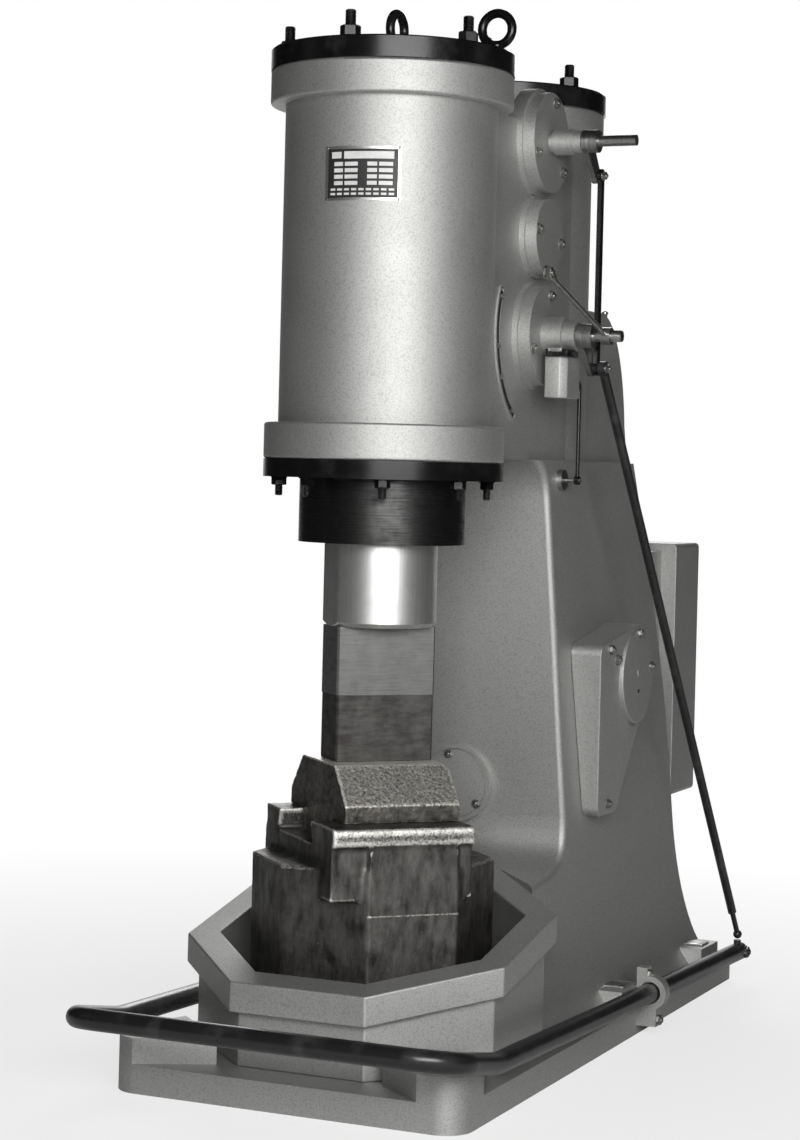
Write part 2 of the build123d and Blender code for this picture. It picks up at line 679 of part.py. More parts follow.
def belt_guard():
    """The box over the belt and pulley, with the stand that joins it to the column's back."""
    half = GUARD_HALF_WIDTH
    shape = block(-half, half, FLARE_BACK, GUARD_BACK, GUARD_BOTTOM, GUARD_TOP)
    shape = fillet(shape.edges().filter_by(Axis.Y), GUARD_EDGE)
    half -= 40
    stand = block(-half, half, COLUMN_TOP_BACK, FLARE_BACK, GUARD_BOTTOM + 20, GUARD_TOP - 20)
    return shape + stand - column() - rear_bearing()


def rear_bearing():
    """The round housing of the upper shaft at the column's back."""
    return disc_y(BEARING_RADIUS, COLUMN_TOP_BACK, COLUMN_FOOT_BACK, 0, BEARING_Z) - column()


def oil_pump():
    """The square block under the lower valve."""
    return block(PUMP_INNER, PUMP_OUTER, PUMP_FRONT, PUMP_BACK, PUMP_BOTTOM, PUMP_TOP)


def oil_pump_crank():
    """The small disc on the column's right side, with the pin that drives the oil pump."""
    disc_outer = COLUMN_TOP_HALF_WIDTH + 14
    disc = disc_x(CRANK_DISC_RADIUS, 200, disc_outer, CRANK_Y, CRANK_Z)
    pin = disc_x(CRANK_PIN_RADIUS, disc_outer, DRIVE_ROD_X + 8, CRANK_Y, CRANK_Z)
    return disc + pin - column()


def oil_pump_rod():
    """The thin rod that rises from the crank pin and turns forward into the oil pump."""
    path = FilletPolyline(
        (DRIVE_ROD_X, CRANK_Y, CRANK_Z + 8),
        (DRIVE_ROD_X, CRANK_Y, DRIVE_ROD_TOP),
        (DRIVE_ROD_X, PUMP_BACK, DRIVE_ROD_TOP),
        radius=20,
    )
    rod = sweep(Plane(path @ 0, z_dir=path % 0) * Circle(DRIVE_ROD_RADIUS), path=path)
    eye = disc_x(2 * CRANK_PIN_RADIUS, DRIVE_ROD_X - 5, DRIVE_ROD_X + 5, CRANK_Y, CRANK_Z)
    return rod + eye - disc_x(CRANK_PIN_RADIUS, 200, 300, CRANK_Y, CRANK_Z)


def data_plate():
    """The thin plate bent round the front of the barrel."""
    radius = BARREL_RADIUS
    outer = Cylinder(radius + PLATE_THICKNESS, PLATE_HEIGHT)
    ring = Pos(0, 0, PLATE_Z) * (outer - Cylinder(radius, PLATE_HEIGHT + 2))
    window = Rot(0, 0, PLATE_ANGLE) * Pos(radius, 0, PLATE_Z) * Box(120, PLATE_WIDTH, PLATE_HEIGHT)
    return ring & window


def make_all():
    save("anvil", anvil())
    save("lower_die", lower_die())
    save("base", base())
    save("basin", basin())
    save("column", column())
    save("cylinder_block", cylinder_block())
    save("working_cylinder_cover", cover(FLANGE_RADIUS + 1, 0))
    save("compressor_cover", cover(COMPRESSOR_FLANGE_RADIUS + 4, COMPRESSOR_Y))
    save("lifting_eye_left", lifting_eye(-20, 60, 65))
    save("lifting_eye_right", lifting_eye(190, 110, 0))
    save("gland_ring", gland_ring())
    save("guide_sleeve", guide_sleeve())
    save("ram", ram())
    save("ram_die_holder", die_block(HOLDER_LENGTH, HOLDER_WIDTH, UPPER_DIE_TOP, RAM_BOTTOM))
    save("upper_die", die_block(UPPER_DIE_LENGTH, HOLDER_WIDTH, DIE_TOP + DIE_REST_GAP, UPPER_DIE_TOP))
    save("upper_valve_flange", valve_flange(UPPER_VALVE_Z, VALVE_FLANGE_RADIUS))
    save("middle_valve_cover", valve_flange(MIDDLE_COVER_Z, MIDDLE_COVER_RADIUS))
    save("lower_valve_flange", valve_flange(LOWER_VALVE_Z, VALVE_FLANGE_RADIUS))
    save("upper_valve_hub", valve_hub(UPPER_VALVE_Z, UPPER_HUB_STEPS))
    save("lower_valve_hub", valve_hub(LOWER_VALVE_Z, LOWER_HUB_STEPS))
    save("upper_valve_shaft", valve_shaft(UPPER_VALVE_Z, UPPER_BOSS_RADIUS, UPPER_SHAFT_END))
    save("lower_valve_shaft", valve_shaft(LOWER_VALVE_Z, LOWER_BOSS_RADIUS, LOWER_SHAFT_END))
    save("hand_lever", hand_lever())
    save("link_bar", link_bar())
    save("treadle_rod", treadle_rod())
    save("treadle", treadle())
    save("treadle_bracket_right", treadle_bracket(1))
    save("treadle_bracket_left", treadle_bracket(-1))
    save("front_cover", front_cover())
    save("gear_cover", gear_cover())
    save("belt_guard", belt_guard())
    save("rear_bearing", rear_bearing())
    save("oil_pump", oil_pump())
    save("oil_pump_crank", oil_pump_crank())
    save("oil_pump_rod", oil_pump_rod())
    save("data_plate", data_plate())


make_all()
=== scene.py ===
import bmesh
import bpy
import math
from mathutils import Matrix, Vector, noise


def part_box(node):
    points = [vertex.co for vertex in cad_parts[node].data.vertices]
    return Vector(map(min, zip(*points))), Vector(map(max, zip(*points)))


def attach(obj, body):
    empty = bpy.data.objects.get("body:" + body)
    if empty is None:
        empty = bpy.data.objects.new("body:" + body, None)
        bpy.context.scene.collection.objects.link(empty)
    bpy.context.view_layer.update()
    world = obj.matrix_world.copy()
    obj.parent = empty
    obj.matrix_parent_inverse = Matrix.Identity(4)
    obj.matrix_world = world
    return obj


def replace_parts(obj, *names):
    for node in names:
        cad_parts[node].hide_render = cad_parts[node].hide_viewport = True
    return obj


# %% [markdown]
# # An air forging hammer
# The real machine is one tall casting with two upright cylinders on top. Air from
# the rear cylinder lifts and drops a heavy bar, the ram, in the front one, and the
# ram strikes hot metal on a die that sits on an anvil inside an octagonal basin.
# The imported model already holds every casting, shaft and rod at its real size, in
# metres, so this lesson adds what a finisher adds: paint, polish, oil, cast edges,
# nuts, studs and plates.

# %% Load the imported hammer
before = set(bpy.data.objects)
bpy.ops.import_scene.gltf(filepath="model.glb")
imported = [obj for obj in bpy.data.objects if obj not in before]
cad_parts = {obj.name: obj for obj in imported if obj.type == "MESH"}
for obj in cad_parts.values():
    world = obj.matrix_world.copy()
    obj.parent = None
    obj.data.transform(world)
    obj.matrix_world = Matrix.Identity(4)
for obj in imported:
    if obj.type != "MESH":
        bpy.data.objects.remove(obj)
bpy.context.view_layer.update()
MM = 0.001

# %% [markdown]
# ## The camera
# The photograph was taken from chest height, to the operator's right. A camera that
# looks level keeps uprights nearly parallel, and a downward shift of the picture
# brings the foot into view, as a view camera does. The picture also leans by about
# one and a half degrees, so the camera is rolled by as much.

# %% Place the camera
PICTURE_WIDTH = 800
PICTURE_HEIGHT = 1140
CAMERA_PLACE = (2.2337, -4.9702, 1.2747)
CAMERA_TURN = math.radians(23.77)
CAMERA_ROLL = 0.0253
FOCAL_PIXELS = 2575.3
AXIS_PIXEL = (402.6, 468.2)
SENSOR = 36

camera_data = bpy.data.cameras.new("photo_camera")
camera_data.sensor_width = SENSOR
camera_data.lens = SENSOR * FOCAL_PIXELS / PICTURE_HEIGHT
camera_data.shift_x = (PICTURE_WIDTH / 2 - AXIS_PIXEL[0]) / PICTURE_HEIGHT
camera_data.shift_y = (AXIS_PIXEL[1] - PICTURE_HEIGHT / 2) / PICTURE_HEIGHT
camera = bpy.data.objects.new("photo_camera", camera_data)
turn = Matrix.Rotation(CAMERA_TURN, 4, "Z") @ Matrix.Rotation(math.pi / 2, 4, "X")
camera.matrix_world = Matrix.Translation(CAMERA_PLACE) @ turn @ Matrix.Rotation(CAMERA_ROLL, 4, "Z")
bpy.context.scene.collection.objects.link(camera)
bpy.context.scene.camera = camera
bpy.context.scene.view_settings.view_transform = "Standard"
print("lens of", round(camera_data.lens, 1), "mm on a", SENSOR, "mm sensor")

# %% [markdown]
# ## Adding nodes
# A procedural finish is a small network of shader nodes. One function adds any node
# with its options, its fixed values and its links, so each finish below reads as a
# list of what it is made of. Colours are written as the hex values of a paint chart
# and turned to linear light in one place.

# %% The helpers of every finish
def colour(text):
    """An sRGB hex colour as the linear red, green, blue and alpha that a socket holds."""
    shares = [int(text[i:i + 2], 16) / 255 for i in (1, 3, 5)]
    linear = [c / 12.92 if c <= 0.04045 else ((c + 0.055) / 1.055) ** 2.4 for c in shares]
    return (*linear, 1)


def add(material, kind, values={}, links={}, **options):
    """Add a node. values are fixed inputs, and links say which output feeds an input."""
    node = material.node_tree.nodes.new("ShaderNode" + kind)
    for name, value in options.items():
        setattr(node, name, value)
    for socket, value in values.items():
        node.inputs[socket].default_value = value
    for socket, (source, output) in links.items():
        material.node_tree.links.new(source.outputs[output], node.inputs[socket])
    return node


def new_finish(name):
    """A bare material with its shader and the object coordinates that patterns read."""
    material = bpy.data.materials.new(name)
    material.use_nodes = True
    shader = material.node_tree.nodes["Principled BSDF"]
    coordinates = add(material, "TexCoord")
    return material, shader, (coordinates, "Object")


def wire(material, shader, socket, source, output):
    """Feed one input of the shader."""
    material.node_tree.links.new(source.outputs[output], shader.inputs[socket])


# A Mix node has sockets for floats and for colours under the same names, so they go by number.
MIX_FACTOR, MIX_A, MIX_B, MIX_RESULT = 0, 6, 7, 2
FLOAT_A, FLOAT_B = 2, 3
print("colour of mid grey:", [round(c, 3) for c in colour("#808080")])

# %% [markdown]
# ## Light, floor and backdrop
# A machine that is photographed for sale stands before a white backdrop in a dim
# hall, with one broad soft box beside and above the camera. Metal flake paint throws
# that light straight back, so what faces the camera is bright and what turns away
# falls off fast. Weak boxes at both sides and a stronger one behind keep the far sides
# readable. The backdrop is part of the sky: white in the direction that the camera
# looks and dim elsewhere. The floor fades into white far out, so it keeps the shadow.

# %% Soft boxes
def soft_box(name, place, aim, width, height, watts):
    """A large rectangular lamp that looks at a point."""
    data = bpy.data.lights.new(name, "AREA")
    data.shape = "RECTANGLE"
    data.size = width
    data.size_y = height
    data.energy = watts
    lamp = bpy.data.objects.new(name, data)
    look = Vector(aim) - Vector(place)
    lamp.matrix_world = Matrix.Translation(place) @ look.to_track_quat("-Z", "Y").to_matrix().to_4x4()
    bpy.context.scene.collection.objects.link(lamp)
    return lamp


MIDDLE = (0, 0.2, 1.15)
soft_box("front_box", (2.5, -3.7, 2.2), MIDDLE, 3.6, 1.6, 250)
soft_box("left_box", (-4.2, -2.6, 2.6), MIDDLE, 1.5, 2.5, 2)
soft_box("rear_box", (-2.0, 5.2, 3.6), MIDDLE, 2.5, 2.5, 130)
soft_box("right_box", (5.0, 2.0, 3.2), MIDDLE, 1.5, 2.5, 3)

# %% Sky with a white backdrop
SKY_LIGHT = 0.05
HALL_LIGHT = 0.02
BACKDROP_WAY = (-math.sin(CAMERA_TURN), math.cos(CAMERA_TURN), 0)
# Cosines of the angle from the backdrop's middle, at its edge and where it is fully white.
BACKDROP_EDGE = {"From Min": 0.88, "From Max": 0.96}

world = bpy.data.worlds.new("studio")
bpy.context.scene.world = world
world.use_nodes = True
background = world.node_tree.nodes["Background"]
background.inputs["Color"].default_value = colour("#ffffff")
rays = add(world, "LightPath")
way = add(world, "TexCoord")
facing = add(world, "VectorMath", {1: BACKDROP_WAY}, {0: (way, "Generated")}, operation="DOT_PRODUCT")
backdrop = add(world, "MapRange", {**BACKDROP_EDGE, "To Min": HALL_LIGHT},
               {"Value": (facing, "Value")}, interpolation_type="SMOOTHSTEP")
mirrored = add(world, "Math", links={0: (rays, "Is Glossy Ray"), 1: (rays, "Is Transmission Ray")},
               operation="MAXIMUM")
seen = add(world, "Mix", {FLOAT_A: SKY_LIGHT},
           {MIX_FACTOR: (mirrored, 0), FLOAT_B: (backdrop, "Result")}, data_type="FLOAT")
strength = add(world, "Math", links={0: (rays, "Is Camera Ray"), 1: (seen, 0)}, operation="MAXIMUM")
world.node_tree.links.new(strength.outputs[0], background.inputs["Strength"])
print("sky gives", SKY_LIGHT, "of white, and the hall", HALL_LIGHT, "in reflections")

# %% Floor
FLOOR_HALF = 40
floor_mesh = bpy.data.meshes.new("floor")
shape = bmesh.new()
bmesh.ops.create_grid(shape, x_segments=1, y_segments=1, size=FLOOR_HALF)
shape.to_mesh(floor_mesh)
shape.free()
floor = bpy.data.objects.new("floor", floor_mesh)
bpy.context.scene.collection.objects.link(floor)

# The floor looks pale near the machine, so its shadow shows, and fades into plain white
# three metres out. In a reflection it is white only on the side of the backdrop.
FADE_START = 1.0
FADE_END = 3.2
WHITE_NEAR = 0.7
floor_paint, floor_shader, floor_place = new_finish("pale_studio_floor")
floor_shader.inputs["Base Color"].default_value = colour("#dedede")
floor_shader.inputs["Roughness"].default_value = 0.8
distance = add(floor_paint, "VectorMath", links={0: floor_place}, operation="LENGTH")
fade = add(floor_paint, "MapRange",
           {"From Min": FADE_START, "From Max": FADE_END, "To Min": WHITE_NEAR},
           {"Value": (distance, "Value")})
white = add(floor_paint, "Emission", {"Color": colour("#ffffff"), "Strength": 1})
path = add(floor_paint, "LightPath")
outward = add(floor_paint, "VectorMath", links={0: floor_place}, operation="NORMALIZE")
behind = add(floor_paint, "VectorMath", {1: BACKDROP_WAY}, {0: (outward, "Vector")},
             operation="DOT_PRODUCT")
sweep = add(floor_paint, "MapRange", BACKDROP_EDGE, {"Value": (behind, "Value")})
mirror = add(floor_paint, "Math", links={0: (path, "Is Glossy Ray"), 1: (sweep, "Result")},
             operation="MULTIPLY")
looks = add(floor_paint, "Math", links={0: (path, "Is Camera Ray"), 1: (mirror, 0)}, operation="MAXIMUM")
share = add(floor_paint, "Math", links={0: (fade, "Result"), 1: (looks, 0)}, operation="MULTIPLY")
blend = add(floor_paint, "MixShader", links={0: (share, 0), 1: (floor_shader, 0), 2: (white, 0)})
floor_paint.node_tree.links.new(
    blend.outputs[0], floor_paint.node_tree.nodes["Material Output"].inputs["Surface"]
)
floor_mesh.materials.append(floor_paint)

# %% [markdown]
# ## Hammertone paint
# The castings are sprayed with a silver-grey hammer finish: aluminium flake in a
# resin that crawls into small round dimples as it dries. The flake gives a broad
# metallic sheen that throws light back, and the dimples show as fine stipple, about
# three millimetres apart, where a highlight ends. Voronoi cells have that spacing, so
# their distance makes the bump and darkens the rims a little, and slow noise stands
# for the sand-cast wall below the paint.

# %% The hammertone finish
DIMPLE = 3.4 * MM
CAST_WAVE = 70 * MM


def hammertone(name, light, dark):
    """Flake paint, light on its dimples and dark between them, over a wavy cast wall."""
    material, shader, place = new_finish(name)
    shader.inputs["Metallic"].default_value = 1
    cells = add(material, "TexVoronoi", {"Scale": 1 / DIMPLE, "Randomness": 1}, {"Vector": place})
    rim = add(material, "MapRange", {"From Min": 0.3, "From Max": 0.85}, {"Value": (cells, "Distance")})
    cloud = add(material, "TexNoise", {"Scale": 1 / CAST_WAVE, "Detail": 4}, {"Vector": place})
    patches = add(material, "TexNoise", {"Scale": 9, "Detail": 6, "Roughness": 0.65}, {"Vector": place})
    pigment = add(material, "Mix", {MIX_A: colour(light), MIX_B: colour(dark)},
                  {MIX_FACTOR: (rim, "Result")}, data_type="RGBA")
    wire(material, shader, "Base Color", pigment, MIX_RESULT)
    gloss = add(material, "MapRange", {"To Min": 0.58, "To Max": 0.7}, {"Value": (patches, "Fac")})
    wire(material, shader, "Roughness", gloss, "Result")
    wall = add(material, "Bump", {"Strength": 0.35, "Distance": 1.2 * MM}, {"Height": (cloud, "Fac")})
    dimples = add(material, "Bump", {"Strength": 0.12, "Distance": 0.5 * MM},
                  {"Height": (cells, "Distance"), "Normal": (wall, "Normal")}, invert=True)
    wire(material, shader, "Normal", dimples, "Normal")
    return material


# A broad soft sheen that ends in fine stipple, so the castings read as sprayed flake paint.
silver_paint = hammertone("silver_hammertone_paint", "#b9b9b7", "#a6a6a4")
print("dimples every", DIMPLE / MM, "mm")

# %% [markdown]
# ## Black enamel
# The cylinder covers, the treadle tube and the rods are brushed with gloss black
# enamel. It levels less well than a sprayed coat, so it has a faint orange peel, and
# dust and hands dull it in patches.

# %% The enamel finish
ORANGE_PEEL = 6 * MM


def enamel(name, dark, dusty, low, high, specular):
    """Black paint between two tones, from gloss to dust."""
    material, shader, place = new_finish(name)
    peel = add(material, "TexNoise", {"Scale": 1 / ORANGE_PEEL, "Detail": 2}, {"Vector": place})
    smear = add(material, "TexNoise", {"Scale": 14, "Detail": 5, "Roughness": 0.6}, {"Vector": place})
    dust = add(material, "MapRange", {"From Min": 0.5, "From Max": 0.75}, {"Value": (smear, "Fac")})
    tone = add(material, "Mix", {MIX_A: colour(dark), MIX_B: colour(dusty)},
               {MIX_FACTOR: (dust, "Result")}, data_type="RGBA")
    wire(material, shader, "Base Color", tone, MIX_RESULT)
    gloss = add(material, "MapRange", {"To Min": low, "To Max": high}, {"Value": (smear, "Fac")})
    wire(material, shader, "Roughness", gloss, "Result")
    shader.inputs["Specular IOR Level"].default_value = specular
    bump = add(material, "Bump", {"Strength": 0.2, "Distance": 0.3 * MM}, {"Height": (peel, "Fac")})
    wire(material, shader, "Normal", bump, "Normal")
    return material


# Near black with small sharp highlights, so the covers stand out from the pale castings.
black_enamel = enamel("gloss_black_enamel", "#0c0c0d", "#222222", 0.16, 0.34, 0.3)
# A greyer black that boots and hands have dulled, with a longer highlight along the tube.
tube_enamel = enamel("handled_black_enamel", "#1a1a1b", "#3a3938", 0.22, 0.38, 0.5)
print("two enamels with a peel of", round(ORANGE_PEEL / MM), "mm")

# %% [markdown]
# ## Bright and dark metal
# The ram is a ground and polished bar, the sleeve round it is turned iron, the die
# holder is milled steel, and heat has darkened the upper die. They differ in colour,
# in roughness and in which way their marks run, so one function takes those and
# stretches its noise along the marks.

# %% Metals by the direction of their marks
# Half the width of the band of noise over which a metal goes from light to dark.
BAND = 0.25


def worked_metal(name, light, dark, marks, low, high, metallic=1.0, bump_height=0.1):
    """Metal with tool marks and blots, from gloss to dull. Lengths are in millimetres.

    marks holds the size of the tool marks along X, Y and Z, and bump_height their depth.
    """
    material, shader, place = new_finish(name)
    shader.inputs["Metallic"].default_value = metallic
    scale = tuple(1 / (m * MM) for m in marks)
    stretched = add(material, "Mapping", {"Scale": scale}, {"Vector": place})
    lines = add(material, "TexNoise", {"Scale": 1, "Detail": 5, "Roughness": 0.6},
                {"Vector": (stretched, 0)})
    blots = add(material, "TexNoise", {"Scale": 22, "Detail": 6, "Roughness": 0.62}, {"Vector": place})
    both = add(material, "Math", links={0: (lines, "Fac"), 1: (blots, "Fac")}, operation="ADD")
    mask = add(material, "MapRange", {"From Min": 1 - BAND, "From Max": 1 + BAND}, {"Value": (both, 0)})
    tone = add(material, "Mix", {MIX_A: colour(light), MIX_B: colour(dark)},
               {MIX_FACTOR: (mask, "Result")}, data_type="RGBA")
    wire(material, shader, "Base Color", tone, MIX_RESULT)
    gloss = add(material, "MapRange", {"To Min": low, "To Max": high}, {"Value": (mask, "Result")})
    wire(material, shader, "Roughness", gloss, "Result")
    bump = add(material, "Bump", {"Strength": 0.5, "Distance": bump_height * MM},
               {"Height": (lines, "Fac")})
    wire(material, shader, "Normal", bump, "Normal")
    return material


# The brightest metal here, with faint upright marks, which draws the eye to what moves.
polished_ram = worked_metal("polished_ram_steel", "#e2e2e0", "#c6c6c4", (5, 5, 220), 0.36, 0.44,
                            bump_height=0.01)
# Dark level rings from the lathe, against which the ram looks brighter.
turned_iron = worked_metal("turned_sleeve_iron", "#4a4a49", "#262626", (60, 60, 2), 0.3, 0.5)
# An even mid grey with level milling marks, a quiet step from the ram to the die.
milled_holder = worked_metal("milled_holder_steel", "#818180", "#6f6f6e", (60, 60, 2.5), 0.45, 0.6,
                             bump_height=0.03)
# A dull brownish grey without sharp highlights, as steel looks after it has been hot.
dark_die = worked_metal("heat_dark_die_steel", "#5f5e5c", "#454341", (40, 40, 9), 0.5, 0.65,
                        bump_height=0.04)
# Bright glints with rings round the shafts, which pick the valve gear out from the paint.
bare_steel = worked_metal("turned_bare_steel", "#b4b4b2", "#7d7d7b", (3, 40, 40), 0.28, 0.42)
# Pale metal brushed along the plate, which shows as a rim round its print.
plate_metal = worked_metal("printed_aluminium", "#cfcfcd", "#a9a9a7", (30, 30, 1.5), 0.35, 0.5)
print(len(bpy.data.materials), "materials so far")

# %% [markdown]
# ## Worn and hammered iron
# The anvil and the lower die have been hit for years. Their edges are rounded, broken
# and polished, and their faces are pitted and run with oil. Each shape is copied from
# its imported node, merged, and wrapped in an even skin by a voxel remesh, so that every
# vertex can move. Noise then pushes the skin in, most of all where it is sharp, and
# the sharpness is kept as an attribute, from which the finish paints bright edges. On
# the die, faces that look up add to that attribute too, as painted light from above.

# %% A finish with bright worn edges
# The size of a grain, and how far the grain's noise rises over the rim of a bright fleck.
GRIT = 5 * MM
FLECK_RIM = 0.06


def worn_iron(name, dark, light, bright, streak, low, high, edge_start, edge_end, fleck):
    """Dark iron with streaks down its faces, bright flecks and bright metal on worn edges.

    streak is the streaks' size along X, Y and Z in millimetres. An edge shows metal from
    edge_start on and is all metal at edge_end, and grit above fleck is a bright fleck.
    """
    material, shader, place = new_finish(name)
    shader.inputs["Metallic"].default_value = 0.9
    scale = tuple(1 / (length * MM) for length in streak)
    stretched = add(material, "Mapping", {"Scale": scale}, {"Vector": place})
    runs = add(material, "TexNoise", {"Scale": 1, "Detail": 6, "Roughness": 0.62},
               {"Vector": (stretched, 0)})
    blots = add(material, "TexNoise", {"Scale": 16, "Detail": 5, "Roughness": 0.6}, {"Vector": place})
    grit = add(material, "TexNoise", {"Scale": 1 / GRIT, "Detail": 3, "Roughness": 0.7}, {"Vector": place})
    both = add(material, "Math", links={0: (runs, "Fac"), 1: (blots, "Fac")}, operation="ADD")
    oil = add(material, "MapRange", {"From Min": 0.7, "From Max": 1.35}, {"Value": (both, 0)})
    iron = add(material, "Mix", {MIX_A: colour(dark), MIX_B: colour(light)},
               {MIX_FACTOR: (oil, "Result")}, data_type="RGBA")
    # The wear attribute holds the sharpness of edges and, on the die, painted light on the faces that look
    # up.
    wear = add(material, "Attribute", attribute_name="wear")
    sharp = add(material, "Math", links={0: (wear, "Fac"), 1: (grit, "Fac")}, operation="MULTIPLY")
    edge = add(material, "MapRange", {"From Min": edge_start, "From Max": edge_end}, {"Value": (sharp, 0)})
    spot = add(material, "MapRange", {"From Min": fleck, "From Max": fleck + FLECK_RIM},
               {"Value": (grit, "Fac")})
    bare = add(material, "Math", links={0: (edge, "Result"), 1: (spot, "Result")}, operation="MAXIMUM")
    tone = add(material, "Mix", {MIX_B: colour(bright)},
               {MIX_FACTOR: (bare, 0), MIX_A: (iron, MIX_RESULT)}, data_type="RGBA")
    wire(material, shader, "Base Color", tone, MIX_RESULT)
    gloss = add(material, "MapRange", {"To Min": high, "To Max": low}, {"Value": (oil, "Result")})
    wire(material, shader, "Roughness", gloss, "Result")
    pits = add(material, "Bump", {"Strength": 0.7, "Distance": 0.8 * MM}, {"Height": (grit, "Fac")})
    waves = add(material, "Bump", {"Strength": 0.5, "Distance": 1.5 * MM},
                {"Height": (runs, "Fac"), "Normal": (pits, "Normal")})
    wire(material, shader, "Normal", waves, "Normal")
    return material


# Oily black with bright scraped edges, which shows the years of blows and where they fell.
anvil_skin_iron = worn_iron("oily_anvil_skin", "#292827", "#72706d", "#dcdad5", (16, 16, 60), 0.4, 0.58,
                            0.16, 0.36, 0.72)
# A little lighter and more flecked, so the worked die parts from the anvil below it.
die_skin_steel = worn_iron("hammered_die_skin", "#2b2a28", "#77746f", "#e4e1da", (22, 22, 12), 0.45, 0.62,
                           0.18, 0.42, 0.68)
print("worn finishes:", anvil_skin_iron.name, "and", die_skin_steel.name)

# %% Join shapes and make bars
def join(shape, part):
    """Add one shape's faces to another."""
    mesh = bpy.data.meshes.new("joined")
    part.to_mesh(mesh)
    part.free()
    shape.from_mesh(mesh)
    bpy.data.meshes.remove(mesh)


def slab(x0, x1, y0, y1, z0, z1, edge=1):
    """A flat bar between two corners in millimetres, with its edges eased."""
    shape = bmesh.new()
    bmesh.ops.create_cube(shape, size=MM)
    bmesh.ops.scale(shape, vec=(x1 - x0, y1 - y0, z1 - z0), verts=shape.verts)
    middle = Vector(((x0 + x1) / 2, (y0 + y1) / 2, (z0 + z1) / 2)) * MM
    bmesh.ops.translate(shape, vec=middle, verts=shape.verts)
    bmesh.ops.bevel(shape, geom=shape.edges[:], offset=edge * MM, affect="EDGES", segments=2,
                    profile=0.5, material=-1)
    return shape


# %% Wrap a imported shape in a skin
# The anvil's front face is laid out in millimetres, square to the axes, and then turned.
ANVIL_TURN = 45
CHEEK_HALF = 98
CHEEK_FRONT = -237
CHEEK_BACK = -190
CHEEK_LOW = 430
CHEEK_HIGH = 511


def merged_copy(node):
    """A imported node's shape with its loose triangles joined."""
    shape = bmesh.new()
    shape.from_mesh(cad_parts[node].data)
    bmesh.ops.remove_doubles(shape, verts=shape.verts, dist=0.02 * MM)
    return shape


def anvil_cheek():
    """The front face of the anvil's block, which runs on up to the ledge of the head."""
    cheek = slab(-CHEEK_HALF, CHEEK_HALF, CHEEK_FRONT, CHEEK_BACK, CHEEK_LOW, CHEEK_HIGH)
    turned = Matrix.Rotation(math.radians(ANVIL_TURN), 3, "Z")
    bmesh.ops.rotate(cheek, matrix=turned, verts=cheek.verts)
    return cheek


def skin(node, voxel):
    """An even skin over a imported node, its quads about one voxel wide."""
    mesh = bpy.data.meshes.new("skin")
    shape = merged_copy(node)
    if node == "anvil":
        join(shape, anvil_cheek())
    shape.to_mesh(mesh)
    shape.free()
    holder = bpy.data.objects.new("skin", mesh)
    bpy.context.scene.collection.objects.link(holder)
    remesh = holder.modifiers.new("skin", "REMESH")
    remesh.mode = "VOXEL"
    remesh.voxel_size = voxel * MM
    graph = bpy.context.evaluated_depsgraph_get()
    even = bpy.data.meshes.new_from_object(holder.evaluated_get(graph))
    bpy.data.objects.remove(holder)
    shape = bmesh.new()
    shape.from_mesh(even)
    bpy.data.meshes.remove(even)
    return shape


# %% Wear a skin down
# How fast wear rises with sharpness, and how many dents wide a chip is.
EDGE_GAIN = 2.2
CHIP_DENTS = 3.5
# How rough the dents are, the step from one octave of them to the next, and the octaves.
DENT_NOISE = (0.8, 2.1, 4)


def sharpness(vertex):
    """How far a vertex stands out from the middle of its neighbours, as a share of their distance."""
    around = [edge.other_vert(vertex).co for edge in vertex.link_edges]
    middle = sum(around, Vector()) / len(around)
    reach = sum((other - vertex.co).length for other in around) / len(around)
    return max(0, (vertex.co - middle).dot(vertex.normal) / reach)


def wear_down(shape, pit, chip, grain, bare_and_lit):
    """Push the skin in by up to pit on faces and chip on sharp edges, in millimetres.

    grain is the size of a dent, and a chip is CHIP_DENTS times as wide. The last argument
    says how bright a vertex is for another reason than an edge, from 0 to 1: rubbed bare
    on the anvil, and painted light on the die's faces that look up.
    """
    shape.normal_update()
    layer = shape.verts.layers.float.new("wear")
    edges = {vertex: sharpness(vertex) for vertex in shape.verts}
    moved = {}
    for vertex, edge in edges.items():
        near = max([edge] + [edges[link.other_vert(vertex)] for link in vertex.link_edges])
        vertex[layer] = min(1, EDGE_GAIN * near + bare_and_lit(vertex))
        spot = vertex.co / (grain * MM)
        dent = 0.5 + 0.5 * noise.fractal(spot, *DENT_NOISE)
        broken = max(0, noise.noise(vertex.co / (CHIP_DENTS * grain * MM))) * min(1, EDGE_GAIN * near)
        moved[vertex] = vertex.normal * -(pit * dent + chip * broken) * MM
    for vertex, shift in moved.items():
        vertex.co += shift
    return shape


# %% Where the anvil is rubbed bare, and painted light on the die's top
ANVIL_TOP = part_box("anvil")[1].z
ANVIL_FRONT = Vector((1, -1, 0)).normalized()
LEDGE = 36 * MM
LEDGE_WEAR = 0.37
SEAM = 367.5 * MM
SEAM_HALF = 3.5 * MM
SEAM_WEAR = 0.5
# How much painted light, as bright metal, the die's faces that look up get.
DIE_TOP_PAINTED_LIGHT = 0.85


def ledge_wear(vertex):
    """The front edge of the anvil's head is scraped bare by hot work, and its seam is rubbed."""
    front = vertex.normal.dot(ANVIL_FRONT)
    if vertex.co.z > ANVIL_TOP - LEDGE and front > 0.5:
        return LEDGE_WEAR
    return SEAM_WEAR if abs(vertex.co.z - SEAM) < SEAM_HALF and front > 0.8 else 0


def top_painted_light(vertex):
    """Painted light: the die gets bright metal where it faces up, as though lit from above."""
    return DIE_TOP_PAINTED_LIGHT * max(0, vertex.normal.z)
